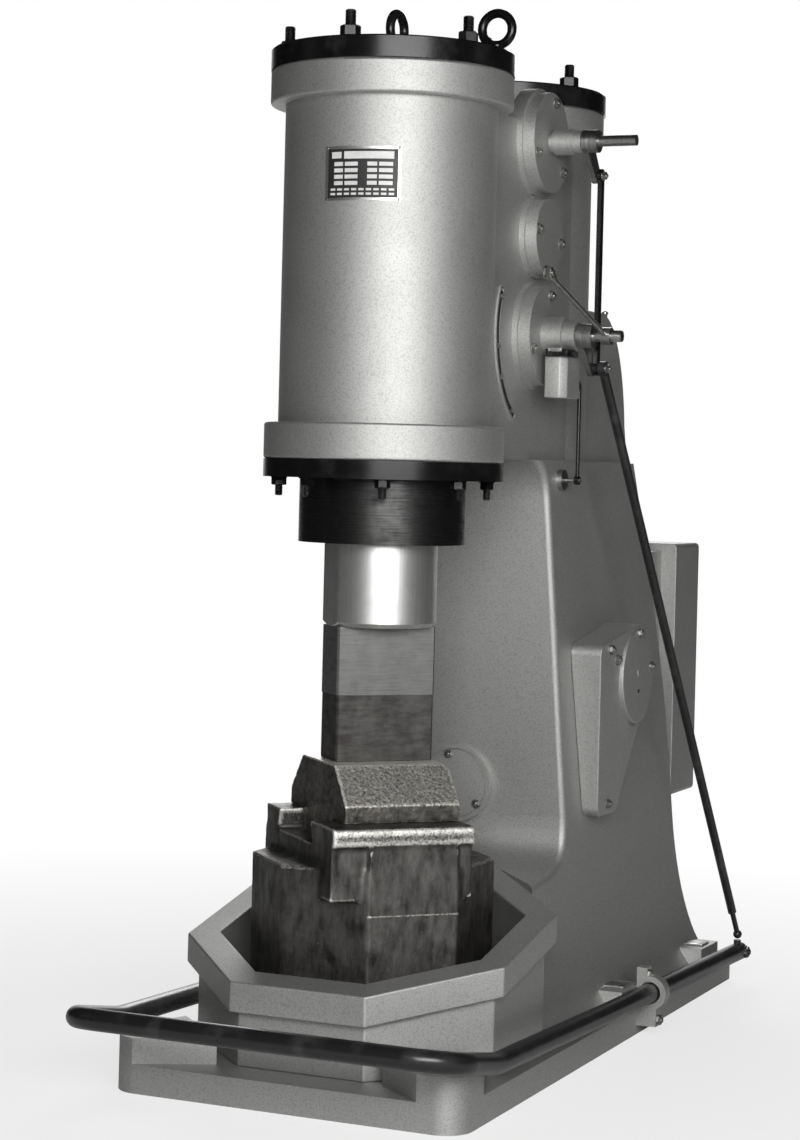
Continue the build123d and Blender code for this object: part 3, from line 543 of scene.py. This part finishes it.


# Each node has its finish, then the size of a voxel, of pits, chips and grain in millimetres,
# and what else makes it bright: rubbing on the anvil, painted light on the die's top.
WORN = (
    ("anvil", anvil_skin_iron, 5, 0.8, 5, 9, ledge_wear),
    ("lower_die", die_skin_steel, 3.5, 1.6, 5, 6, top_painted_light),
)
for node, finish, voxel, pit, chip, grain, bare_and_lit in WORN:
    shape = wear_down(skin(node, voxel), pit, chip, grain, bare_and_lit)
    faces = len(shape.faces)
    mesh = bpy.data.meshes.new(node + "_worn")
    shape.to_mesh(mesh)
    shape.free()
    for face in mesh.polygons:
        face.use_smooth = True
    mesh.materials.append(finish)
    worn = bpy.data.objects.new(node + "_worn", mesh)
    bpy.context.scene.collection.objects.link(worn)
    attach(worn, "frame")
    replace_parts(worn, node)
    print(node, "has a skin of", faces, "faces")

# %% [markdown]
# ## Finishes on the CAD nodes
# Each node whose shape is right keeps its mesh and only gets another material in its
# slot, so the parts that bolt together share a paint as they do on the real machine.

# %% Give every node its finish
FINISHES = {
    silver_paint: [
        "base", "basin", "column", "cylinder_block", "upper_valve_flange", "middle_valve_cover",
        "lower_valve_flange", "upper_valve_hub", "lower_valve_hub", "front_cover", "gear_cover",
        "oil_pump", "rear_bearing", "belt_guard", "treadle_bracket_left", "treadle_bracket_right",
    ],
    black_enamel: [
        "working_cylinder_cover", "compressor_cover", "gland_ring", "lifting_eye_left",
        "lifting_eye_right", "link_bar", "oil_pump_rod",
    ],
    tube_enamel: ["treadle", "treadle_rod"],
    polished_ram: ["ram"],
    turned_iron: ["guide_sleeve"],
    milled_holder: ["ram_die_holder"],
    dark_die: ["upper_die"],
    anvil_skin_iron: ["anvil"],
    die_skin_steel: ["lower_die"],
    bare_steel: ["upper_valve_shaft", "lower_valve_shaft", "hand_lever", "oil_pump_crank"],
    plate_metal: ["data_plate"],
}
for finish, names in FINISHES.items():
    for name in names:
        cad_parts[name].data.materials.clear()
        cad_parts[name].data.materials.append(finish)
print("finished", sum(len(names) for names in FINISHES.values()), "nodes")

# %% [markdown]
# ## Making small hardware
# Studs, washers, rivets and plugs are turned parts, so each starts as a profile that is
# spun about an axis, as a lathe would cut it. Short functions keep a shape as a piece,
# spin a profile, cut a hexagon or a thread, and put a shape in its place. Places and
# sizes are written in millimetres and turned to metres once.

# %% Keep a shape as a piece
def keep(shape, name, finish, body="frame", sharp=35):
    """Make a piece of a finished shape. It rides a body, and its edges over an angle stay crisp."""
    mesh = bpy.data.meshes.new(name)
    shape.to_mesh(mesh)
    shape.free()
    for face in mesh.polygons:
        face.use_smooth = True
    mesh.set_sharp_from_angle(angle=math.radians(sharp))
    mesh.materials.append(finish)
    piece = bpy.data.objects.new(name, mesh)
    bpy.context.scene.collection.objects.link(piece)
    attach(piece, body)
    return piece


# %% Spin, cut and place
CORNER_SHARE = 0.07


def lathe(profile, steps=24):
    """Spin (radius, height) points in millimetres about the Z axis."""
    shape = bmesh.new()
    points = [shape.verts.new((radius * MM, 0, height * MM)) for radius, height in profile]
    edges = [shape.edges.new(pair) for pair in zip(points, points[1:])]
    bmesh.ops.spin(shape, geom=points + edges, cent=(0, 0, 0), axis=(0, 0, 1), dvec=(0, 0, 0),
                   angle=math.tau, steps=steps, use_merge=True)
    bmesh.ops.remove_doubles(shape, verts=shape.verts, dist=0.01 * MM)
    bmesh.ops.recalc_face_normals(shape, faces=shape.faces)
    return shape


def hexagon(across, height):
    """A hexagon of a width across its flats, with its top corners turned down."""
    shape = bmesh.new()
    radius = across / math.sqrt(3) * MM
    bmesh.ops.create_cone(shape, cap_ends=True, segments=6, radius1=radius, radius2=radius,
                          depth=height * MM)
    bmesh.ops.translate(shape, vec=(0, 0, height / 2 * MM), verts=shape.verts)
    top = [e for e in shape.edges if min(v.co.z for v in e.verts) > 0.9 * height * MM]
    bmesh.ops.bevel(shape, geom=top, offset=CORNER_SHARE * across * MM, affect="EDGES", segments=1,
                    profile=0.5, material=-1)
    return shape


def thread(radius, length, pitch=3):
    """The profile of a screw's end: crests and roots by turns, and a chamfered tip."""
    profile = [(0, 0)]
    for turn in range(int(length / pitch)):
        profile += [(radius, turn * pitch), (radius - 0.4 * pitch, (turn + 0.5) * pitch)]
    return profile + [(radius - 0.5, length - 2), (radius - 3, length), (0, length)]


FACING = {
    "up": Matrix.Identity(4),
    "down": Matrix.Rotation(math.pi, 4, "X"),
    "right": Matrix.Rotation(math.pi / 2, 4, "Y"),
    "left": Matrix.Rotation(-math.pi / 2, 4, "Y"),
    "front": Matrix.Rotation(math.pi / 2, 4, "X"),
}


def place(shape, x, y, z, facing="up", turn=0):
    """Move a shape to a place in millimetres, with its axis facing that way."""
    matrix = Matrix.Translation((x * MM, y * MM, z * MM)) @ FACING[facing]
    matrix = matrix @ Matrix.Rotation(math.radians(turn), 4, "Z")
    bmesh.ops.transform(shape, matrix=matrix, verts=shape.verts)
    return shape


print("a hexagon of 37 mm has", len(hexagon(37, 24).faces), "faces")

# %% [markdown]
# ## Soft edges on the plain castings
# A sand casting has no knife edges: they are rounded by a few millimetres and catch
# the light as a thin bright line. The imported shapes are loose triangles, so each copy
# is merged, its flat faces are joined, and its outward edges get a small round.

# %% Round the outward edges
FLAT = math.radians(0.5)
CORNER = math.radians(28)


def soft_cast(node, radius):
    """A packed casting's shape with its outward edges rounded, by a radius in millimetres."""
    shape = merged_copy(node)
    bmesh.ops.dissolve_limit(shape, angle_limit=FLAT, verts=shape.verts, edges=shape.edges)
    outward = [e for e in shape.edges if len(e.link_faces) == 2 and e.is_convex
               and e.calc_face_angle(0) > CORNER]
    bmesh.ops.bevel(shape, geom=outward, offset=radius * MM, affect="EDGES", segments=2, profile=0.5,
                    material=-1, clamp_overlap=True)
    print(node, "has", len(outward), "outward edges and", len(shape.faces), "faces")
    return shape


for node, radius in (("basin", 4), ("gear_cover", 3), ("belt_guard", 4), ("base", 3)):
    cast = keep(soft_cast(node, radius), node + "_cast", silver_paint, sharp=50)
    # Normals weighted by area keep the flat faces flat, so only the rounds shade off.
    shading = cast.modifiers.new("even_shading", "WEIGHTED_NORMAL")
    shading.keep_sharp = True
    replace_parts(cast, node)

# %% [markdown]
# ## Studs and nuts of the covers
# Each cylinder's black cover is held down by studs with hexagon nuts, and the ring
# under the working cylinder hangs on eight smaller ones. The nuts were painted over
# with the covers, and the stud ends stayed bare and dark with oil.

# %% Dark and bright steel for fasteners
# Dark and oily, so that only the crests of the threads glint above the black nuts.
dark_stud = worked_metal("oiled_stud_steel", "#6a6a69", "#303030", (30, 30, 3), 0.3, 0.45)
# Pale and slightly mottled, so that each bolt shows as a bright point on the paint.
zinc_bolt = worked_metal("zinc_plated_bolt", "#b9b9b6", "#83837f", (5, 5, 5), 0.28, 0.42)
print("fasteners in", dark_stud.name, "and", zinc_bolt.name)

# %% Place studs and nuts
COVER_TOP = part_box("working_cylinder_cover")[1].z / MM
RING_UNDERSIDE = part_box("gland_ring")[0].z / MM
COMPRESSOR_Y = 620
NUT_STEP = 11


def stud_and_nut(name, x, y, z, facing, across, nut_height, radius, length, turn):
    """A stud end with its nut, on a face that looks up or down."""
    nut = place(hexagon(across, nut_height), x, y, z, facing, turn)
    keep(nut, name + "_nut", black_enamel)
    washer = lathe([(0, 0), (across * 0.62, 0), (across * 0.62, 2.5), (0, 2.5)])
    keep(place(washer, x, y, z, facing), name + "_washer", black_enamel)
    stud = place(lathe(thread(radius, length), 16), x, y, z, facing)
    keep(stud, name + "_stud", dark_stud)


def ring_of_studs(name, angles, radius, centre_y, z, facing, sizes):
    """Studs at angles round a bolt circle, each nut left at another turn by its spanner."""
    for number, angle in enumerate(angles, 1):
        x = radius * math.cos(math.radians(angle))
        y = centre_y + radius * math.sin(math.radians(angle))
        stud_and_nut(f"{name}_{number}", x, y, z, facing, *sizes, turn=angle + NUT_STEP * number)


# Sizes are the nut's width across flats and height, and the stud's radius and length. A
# ring has its angles in degrees, its radius, its middle along Y, its face and which way
# that looks, and its sizes.
COVER_SIZES = (37, 24, 11.5, 56)
COMPRESSOR_SIZES = (37, 24, 11.5, 52)
RING_SIZES = (28, 18, 8.5, 40)
STUD_RINGS = {
    "cover": ((198, 270.5, 337.5, 50, 124), 222, 0, COVER_TOP, "up", COVER_SIZES),
    "compressor": ((-22, 68, 158, 248), 212, COMPRESSOR_Y, COVER_TOP, "up", COMPRESSOR_SIZES),
    "ring": ((294, 249, 204, 159, 114, 69, 24, 339), 220, 0, RING_UNDERSIDE, "down", RING_SIZES),
}
for name, ring in STUD_RINGS.items():
    ring_of_studs(name, *ring)
print(sum(len(ring[0]) for ring in STUD_RINGS.values()), "studs with nuts")

# %% [markdown]
# ## Lifting eyes
# Two forged eye bolts stand on the working cylinder's cover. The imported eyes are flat
# rings, good enough to hold a hook, and the real ones are round in section. A small
# circle spun about the eye's own axis gives the ring, and a lathe profile the collar.

# %% Forge the two eyes
EYE_MIDDLE = 34
EYE_WIRE = 10
EYE_HEIGHT = 62
EYE_COLLAR = [(0, 0), (26, 0), (26, 7), (23, 10), (15, 14), (12, 20), (13, 28), (0, 28)]
EYE_TURNS = {"lifting_eye_left": 88, "lifting_eye_right": 0}

for node, eye_turn in EYE_TURNS.items():
    low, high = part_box(node)
    ring = bmesh.new()
    bmesh.ops.create_circle(ring, segments=20, radius=EYE_WIRE * MM)
    bmesh.ops.translate(ring, vec=(EYE_MIDDLE * MM, 0, 0), verts=ring.verts)
    bmesh.ops.spin(ring, geom=ring.verts[:] + ring.edges[:], cent=(0, 0, 0), axis=(0, 1, 0),
                   dvec=(0, 0, 0), angle=math.tau, steps=48, use_merge=True)
    bmesh.ops.remove_doubles(ring, verts=ring.verts, dist=0.01 * MM)
    bmesh.ops.recalc_face_normals(ring, faces=ring.faces)
    bmesh.ops.translate(ring, vec=(0, 0, EYE_HEIGHT * MM), verts=ring.verts)
    join(ring, lathe(EYE_COLLAR, 32))
    x, y = (low.x + high.x) / 2 / MM, (low.y + high.y) / 2 / MM
    place(ring, x, y, low.z / MM, turn=eye_turn)
    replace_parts(keep(ring, node + "_forged", black_enamel), node)
print("forged", len(EYE_TURNS), "eyes")

# %% [markdown]
# ## Bolts on the side covers
# The valve covers, the gear housing, the round cover behind the dies and the treadle's
# brackets are held by short hexagon bolts, zinc plated, so they stay paler than the
# paint. All have one shape at different places, so lists of places are enough.

# %% Place the cover bolts
VALVE_Y = 318
LOWER_VALVE_Z = 1572
UPPER_VALVE_Z = 1996
MIDDLE_COVER_Z = 1789
VALVE_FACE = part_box("upper_valve_flange")[1].x / MM
GEAR_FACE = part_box("gear_cover")[1].x / MM
FRONT_COVER_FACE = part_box("front_cover")[0].y / MM
FRONT_COVER_Z = 562
FLANGE_CIRCLE = 90
MIDDLE_CIRCLE = 70
FRONT_CIRCLE = 68
BRACKET_Y = 633


def bolt(name, x, y, z, facing, across=18, height=8, turn=10, finish=zinc_bolt, body="frame"):
    """A hexagon head with its washer and the chamfered end of its shank."""
    head = hexagon(across, height)
    join(head, lathe([(0, -0.5), (across * 0.66, -0.5), (across * 0.66, 1.6), (0, 1.6)]))
    tip = across * 0.28
    end = height + 3.5
    join(head, lathe([(0, 0), (tip, 0), (tip, end - 1.5), (tip - 1.5, end), (0, end)], 16))
    keep(place(head, x, y, z, facing, turn), name, finish, body)


def round_about(angle, radius, y, z):
    """A place on a bolt circle, from an angle in degrees and the circle's middle."""
    return y + radius * math.cos(math.radians(angle)), z + radius * math.sin(math.radians(angle))


for label, height in (("upper", UPPER_VALVE_Z), ("lower", LOWER_VALVE_Z)):
    for number, angle in enumerate((80, 200, 320), 1):
        y, z = round_about(angle, FLANGE_CIRCLE, VALVE_Y, height)
        bolt(f"{label}_flange_bolt_{number}", VALVE_FACE, y, z, "right")
for number, angle in enumerate((170, -8), 1):
    y, z = round_about(angle, MIDDLE_CIRCLE, VALVE_Y, MIDDLE_COVER_Z)
    bolt(f"middle_cover_bolt_{number}", VALVE_FACE, y, z, "right")

# Y and Z of each bolt, and how far its seat lies from the housing's outermost face.
GEAR_BOLTS = ((768, 903, 0), (857, 821, 0), (632, 848, -8), (583, 874, -6.5), (636, 517, -24.5))
for number, (y, z, inset) in enumerate(GEAR_BOLTS, 1):
    bolt(f"gear_cover_bolt_{number}", GEAR_FACE + inset, y, z, "right", turn=20 * number)
for number, angle in enumerate((104, -38, 211), 1):
    x, z = round_about(angle, FRONT_CIRCLE, 0, FRONT_COVER_Z)
    bolt(f"front_cover_bolt_{number}", x, FRONT_COVER_FACE, z, "front", across=15, height=7)
for side, side_name in ((1, "right"), (-1, "left")):
    bolt(f"treadle_clamp_bolt_{side_name}", side * 411, BRACKET_Y, 136, side_name, across=20, height=9)
    bolt(f"treadle_foot_bolt_{side_name}", side * 434, BRACKET_Y, 36, side_name, across=20, height=9)
print("bolts placed on", VALVE_FACE, "and", round(GEAR_FACE), "mm faces")

# %% [markdown]
# ## Ends of the valve gear
# Small parts catch the eye along the valve gear: the centre holes that a lathe leaves
# in the shafts, drawn as thin black discs of painted shade, the thread at the lower
# shaft's end, the nuts on the link's pins and the nut of the hand lever.

# %% Fit the ends of the shafts and pins
UPPER_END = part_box("upper_valve_shaft")[1].x / MM
LOWER_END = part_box("lower_valve_shaft")[1].x / MM
LINK_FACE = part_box("link_bar")[1].x / MM
PIN_Y = 380
PIN_DROP = 68
ROD_EYE_FACE = 360
LINK_NUT = {"across": 17, "height": 8, "turn": 5}
CENTRE_SHADE_DISC = [(0, 0), (3.5, 0), (3.5, 0.3), (0, 0.3)]
THREAD_LENGTH = 20
KNOB_REACH = 20 * MM
KNOB_BACK = 4

# Each centre hole is a thin black disc on the shaft's end: painted shade for the hole's depth.
for label, body, end, height in (("upper", "upper_valve", UPPER_END, UPPER_VALVE_Z),
                                 ("lower", "lower_valve", LOWER_END, LOWER_VALVE_Z)):
    hole = place(lathe(CENTRE_SHADE_DISC, 16), end - 0.1, VALVE_Y, height, "right")
    keep(hole, f"{label}_centre_shade_disc", black_enamel, body)
shaft_thread = lathe(thread(13, THREAD_LENGTH, 2.5), 24)
place(shaft_thread, LOWER_END - THREAD_LENGTH - 0.5, VALVE_Y, LOWER_VALVE_Z, "right")
keep(shaft_thread, "lower_shaft_thread", bare_steel, "lower_valve")
bolt("upper_link_nut", LINK_FACE, PIN_Y, UPPER_VALVE_Z - PIN_DROP, "right", body="upper_valve", **LINK_NUT)
bolt("lower_link_nut", ROD_EYE_FACE, PIN_Y, LOWER_VALVE_Z - PIN_DROP, "right", body="lower_valve",
     **LINK_NUT)

# The hand lever ends in a bright nut with its bolt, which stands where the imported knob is.
lever_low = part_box("hand_lever")[0]
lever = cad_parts["hand_lever"].data.vertices
knob = [v.co for v in lever if v.co.y < lever_low.y + KNOB_REACH]
middle = sum(knob, Vector()) / len(knob) / MM
bolt("hand_lever_nut", middle.x - KNOB_BACK, middle.y, middle.z, "right", across=24, height=15, turn=20,
     body="lower_valve")
print("upper shaft ends at", UPPER_END, "mm and the lower at", LOWER_END, "mm")

# %% [markdown]
# ## The data plate
# A thin aluminium plate is riveted to the barrel. Its print is generic: a pale border,
# a dark field, a blank heading and rows of blank boxes. Each patch is a fine grid bent
# to the barrel, a fraction of a millimetre above the plate.

# %% Bend patches of print round the barrel
BARREL_RADIUS = 225
PLATE_SURFACE = BARREL_RADIUS + 2
PLATE_ANGLE = -81
PLATE_LOW, PLATE_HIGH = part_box("data_plate")
PLATE_Z = (PLATE_LOW.z + PLATE_HIGH.z) / 2 / MM
PRINT_LIFT = 0.4
RIVET_ALONG = 77
RIVET_UP = 52
RIVET = [(0, 0), (3, 0), (2.6, 1.2), (1.4, 2), (0, 2.2)]
# An even black without sheen, so the plate reads as printed from across the hall.
print_dark = worked_metal("black_plate_print", "#1f1f1f", "#181818", (20, 20, 20), 0.5, 0.6,
                          metallic=0, bump_height=0.01)
# Pale matte print, which gives the plate its rows and lines.
print_light = worked_metal("blank_plate_boxes", "#cfcfcd", "#b9b9b7", (20, 20, 20), 0.5, 0.6,
                           metallic=0, bump_height=0.01)


def patch(along, up, width, height, lift):
    """A rectangle of print, bent round the barrel, its middle along and up from the plate's."""
    shape = bmesh.new()
    bmesh.ops.create_grid(shape, x_segments=8, y_segments=1, size=0.5)
    for vertex in shape.verts:
        angle = math.radians(PLATE_ANGLE) + (along + vertex.co.x * width) / BARREL_RADIUS
        radius = (PLATE_SURFACE + lift) * MM
        height_here = (PLATE_Z + up + vertex.co.y * height) * MM
        vertex.co = (radius * math.cos(angle), radius * math.sin(angle), height_here)
    bmesh.ops.recalc_face_normals(shape, faces=shape.faces)
    if sum((face.normal.y for face in shape.faces), 0) > 0:
        bmesh.ops.reverse_faces(shape, faces=shape.faces)
    return shape


keep(patch(0, 0, 149, 99, 0.2), "plate_dark_field", print_dark)
# Each box has its middle along and up from the plate's, its width and its height.
layout = [(14, 37, 104, 15)]
for row_up in (19, 6, -7, -20):
    for column in (-36, 36):
        layout += [(column - 14, row_up, 20, 8), (column + 14, row_up, 28, 8)]
for line_up in (-33, -42):
    layout += [(-62 + word * 15.5, line_up, 11, 4.5) for word in range(9)]
boxes = bmesh.new()
for box in layout:
    join(boxes, patch(*box, PRINT_LIFT))
keep(boxes, "plate_blank_boxes", print_light)
keep(patch(-55, 37, 22, 13, PRINT_LIFT), "plate_blank_heading", print_light)
for number, (side, end) in enumerate(((-1, -1), (-1, 1), (1, -1), (1, 1)), 1):
    angle = math.radians(PLATE_ANGLE) + side * RIVET_ALONG / BARREL_RADIUS
    seat = (PLATE_SURFACE * MM, 0, (PLATE_Z + end * RIVET_UP) * MM)
    out = Matrix.Rotation(angle, 4, "Z") @ Matrix.Translation(seat)
    rivet = lathe(RIVET, 16)
    bmesh.ops.transform(rivet, matrix=out @ FACING["right"], verts=rivet.verts)
    keep(rivet, f"plate_rivet_{number}", bare_steel)
print("plate with", len(layout), "blank boxes, a heading and 4 rivets")

# %% [markdown]
# ## The curved slot and the oil pump
# Round the lower valve runs a cast slot that opens into the dark valve chamber. A
# black strip spun about the valve's axis is painted shade for that dark depth, and four
# small bolts sit in it. Below the valve hangs a square block with one broad bevelled
# corner, which catches the light, and a black cap with a bright strip.

# %% Lay painted shade in the slot
SLOT_RADIUS = 205
SLOT_START = 155
SLOT_SWEEP = 85
SLOT_FLOOR_X = 208
SLOT_HALF = 7
# Painted shade: almost no light comes back from it, so the slot and the oil hole read
# as openings into dark depth.
painted_depth_shade = worked_metal("painted_chamber_shade", "#141414", "#060606", (9, 9, 9), 0.6, 0.8, metallic=0)
# A black strip just below the slot's lips is painted shade for the chamber behind them.
shade_strip = bmesh.new()
start = math.radians(SLOT_START)
ends = [
    shade_strip.verts.new((SLOT_FLOOR_X * MM, (VALVE_Y + radius * math.cos(start)) * MM,
                      (LOWER_VALVE_Z + radius * math.sin(start)) * MM))
    for radius in (SLOT_RADIUS - SLOT_HALF, SLOT_RADIUS + SLOT_HALF)
]
across = shade_strip.edges.new(ends)
bmesh.ops.spin(shade_strip, geom=ends + [across], cent=(0, VALVE_Y * MM, LOWER_VALVE_Z * MM),
               axis=(1, 0, 0), dvec=(0, 0, 0), angle=math.radians(SLOT_SWEEP), steps=24)
bmesh.ops.recalc_face_normals(shade_strip, faces=shade_strip.faces)
if shade_strip.faces[:][0].normal.x < 0:
    bmesh.ops.reverse_faces(shade_strip, faces=shade_strip.faces)
keep(shade_strip, "arc_slot_painted_shade", painted_depth_shade)
for number, angle in enumerate((159, 189, 208, 235), 1):
    y, z = round_about(angle, SLOT_RADIUS, VALVE_Y, LOWER_VALVE_Z)
    bolt(f"arc_slot_bolt_{number}", SLOT_FLOOR_X, y, z, "right", across=9, height=5)
print("slot lined over", SLOT_SWEEP, "degrees")

# %% Bevel the pump block and cap it
CORNER_BEVEL = 14
EDGE_EASE = 1.5
PUMP_CAP = (262, 312, 258, 330, 1525, 1541)
CAP_STRIP = (268, 300, 255, 261, 1535, 1544)
low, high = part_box("oil_pump")
pump = bmesh.new()
bmesh.ops.create_cube(pump, size=1)
bmesh.ops.scale(pump, vec=high - low, verts=pump.verts)
bmesh.ops.translate(pump, vec=(low + high) / 2, verts=pump.verts)
corner = [e for e in pump.edges if all(v.co.x > high.x - MM and v.co.y < low.y + MM for v in e.verts)]
bmesh.ops.bevel(pump, geom=corner, offset=CORNER_BEVEL * MM, affect="EDGES", segments=1,
                profile=0.5, material=-1)
bmesh.ops.bevel(pump, geom=pump.edges[:], offset=EDGE_EASE * MM, affect="EDGES", segments=2,
                profile=0.5, material=-1)
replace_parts(keep(pump, "oil_pump_block", silver_paint), "oil_pump")
keep(slab(*PUMP_CAP), "oil_pump_cap", black_enamel)
keep(slab(*CAP_STRIP), "oil_pump_cap_strip", bare_steel)
print("pump block", [round(c / MM) for c in high - low], "mm")

# %% [markdown]
# ## Small things on the castings
# Square washers lie on the foot lugs, an oil nipple stands on the shoulder, and the
# gear cover has a plug and an oil hole, drawn as a dark disc of painted shade. The
# treadle's ends are stopped with bolts.

# %% Washers, nipple, plugs and end bolts
HOLE_X = 347
HOLE_Y = (589, 1189)
LUG_TOP = 112
WASHER_HALF = 27
WASHER_TOP = LUG_TOP + 5
WASHER_FACE = [(0, 0), (17, 0), (17, 0.4), (0, 0.4)]
NIPPLE = [(0, 0), (9, 0), (9, 10), (6, 12), (6, 22), (8, 24), (8, 28), (4, 31), (0, 31)]
PLUG = [(0, 0), (9, 0), (9, 2), (6, 3.5), (0, 3.5)]
HOLE_SHADE_PROFILE = [(0, 0), (5, 0), (5, 1), (0, 1)]
for x, side_name in ((-HOLE_X, "left"), (HOLE_X, "right")):
    for y, end in zip(HOLE_Y, ("front", "back")):
        washer = slab(x - WASHER_HALF, x + WASHER_HALF, y - WASHER_HALF, y + WASHER_HALF,
                      LUG_TOP, WASHER_TOP)
        join(washer, place(lathe(WASHER_FACE, 32), x, y, WASHER_TOP))
        keep(washer, f"foot_washer_{side_name}_{end}", zinc_bolt)
nipple = place(lathe(NIPPLE), 192, 838, 1630)
keep(nipple, "shoulder_oil_nipple", zinc_bolt)
plug = place(lathe(PLUG), GEAR_FACE, 764, 810, "right")
keep(plug, "gear_cover_plug", silver_paint)
# The oil hole is a thin dark disc on the cover's face: painted shade for the depth of the hole.
hole_shade_disc = place(lathe(HOLE_SHADE_PROFILE), GEAR_FACE, 766, 768, "right")
keep(hole_shade_disc, "gear_cover_painted_hole_shade", painted_depth_shade)
for side, side_name in ((1, "right"), (-1, "left")):
    bolt(f"treadle_end_bolt_{side_name}", side * 438, 1326, 79, side_name, across=24, height=9, turn=15,
         finish=dark_stud, body="treadle")
print("4 washers, a nipple, a plug, an oil hole and 2 end bolts placed")
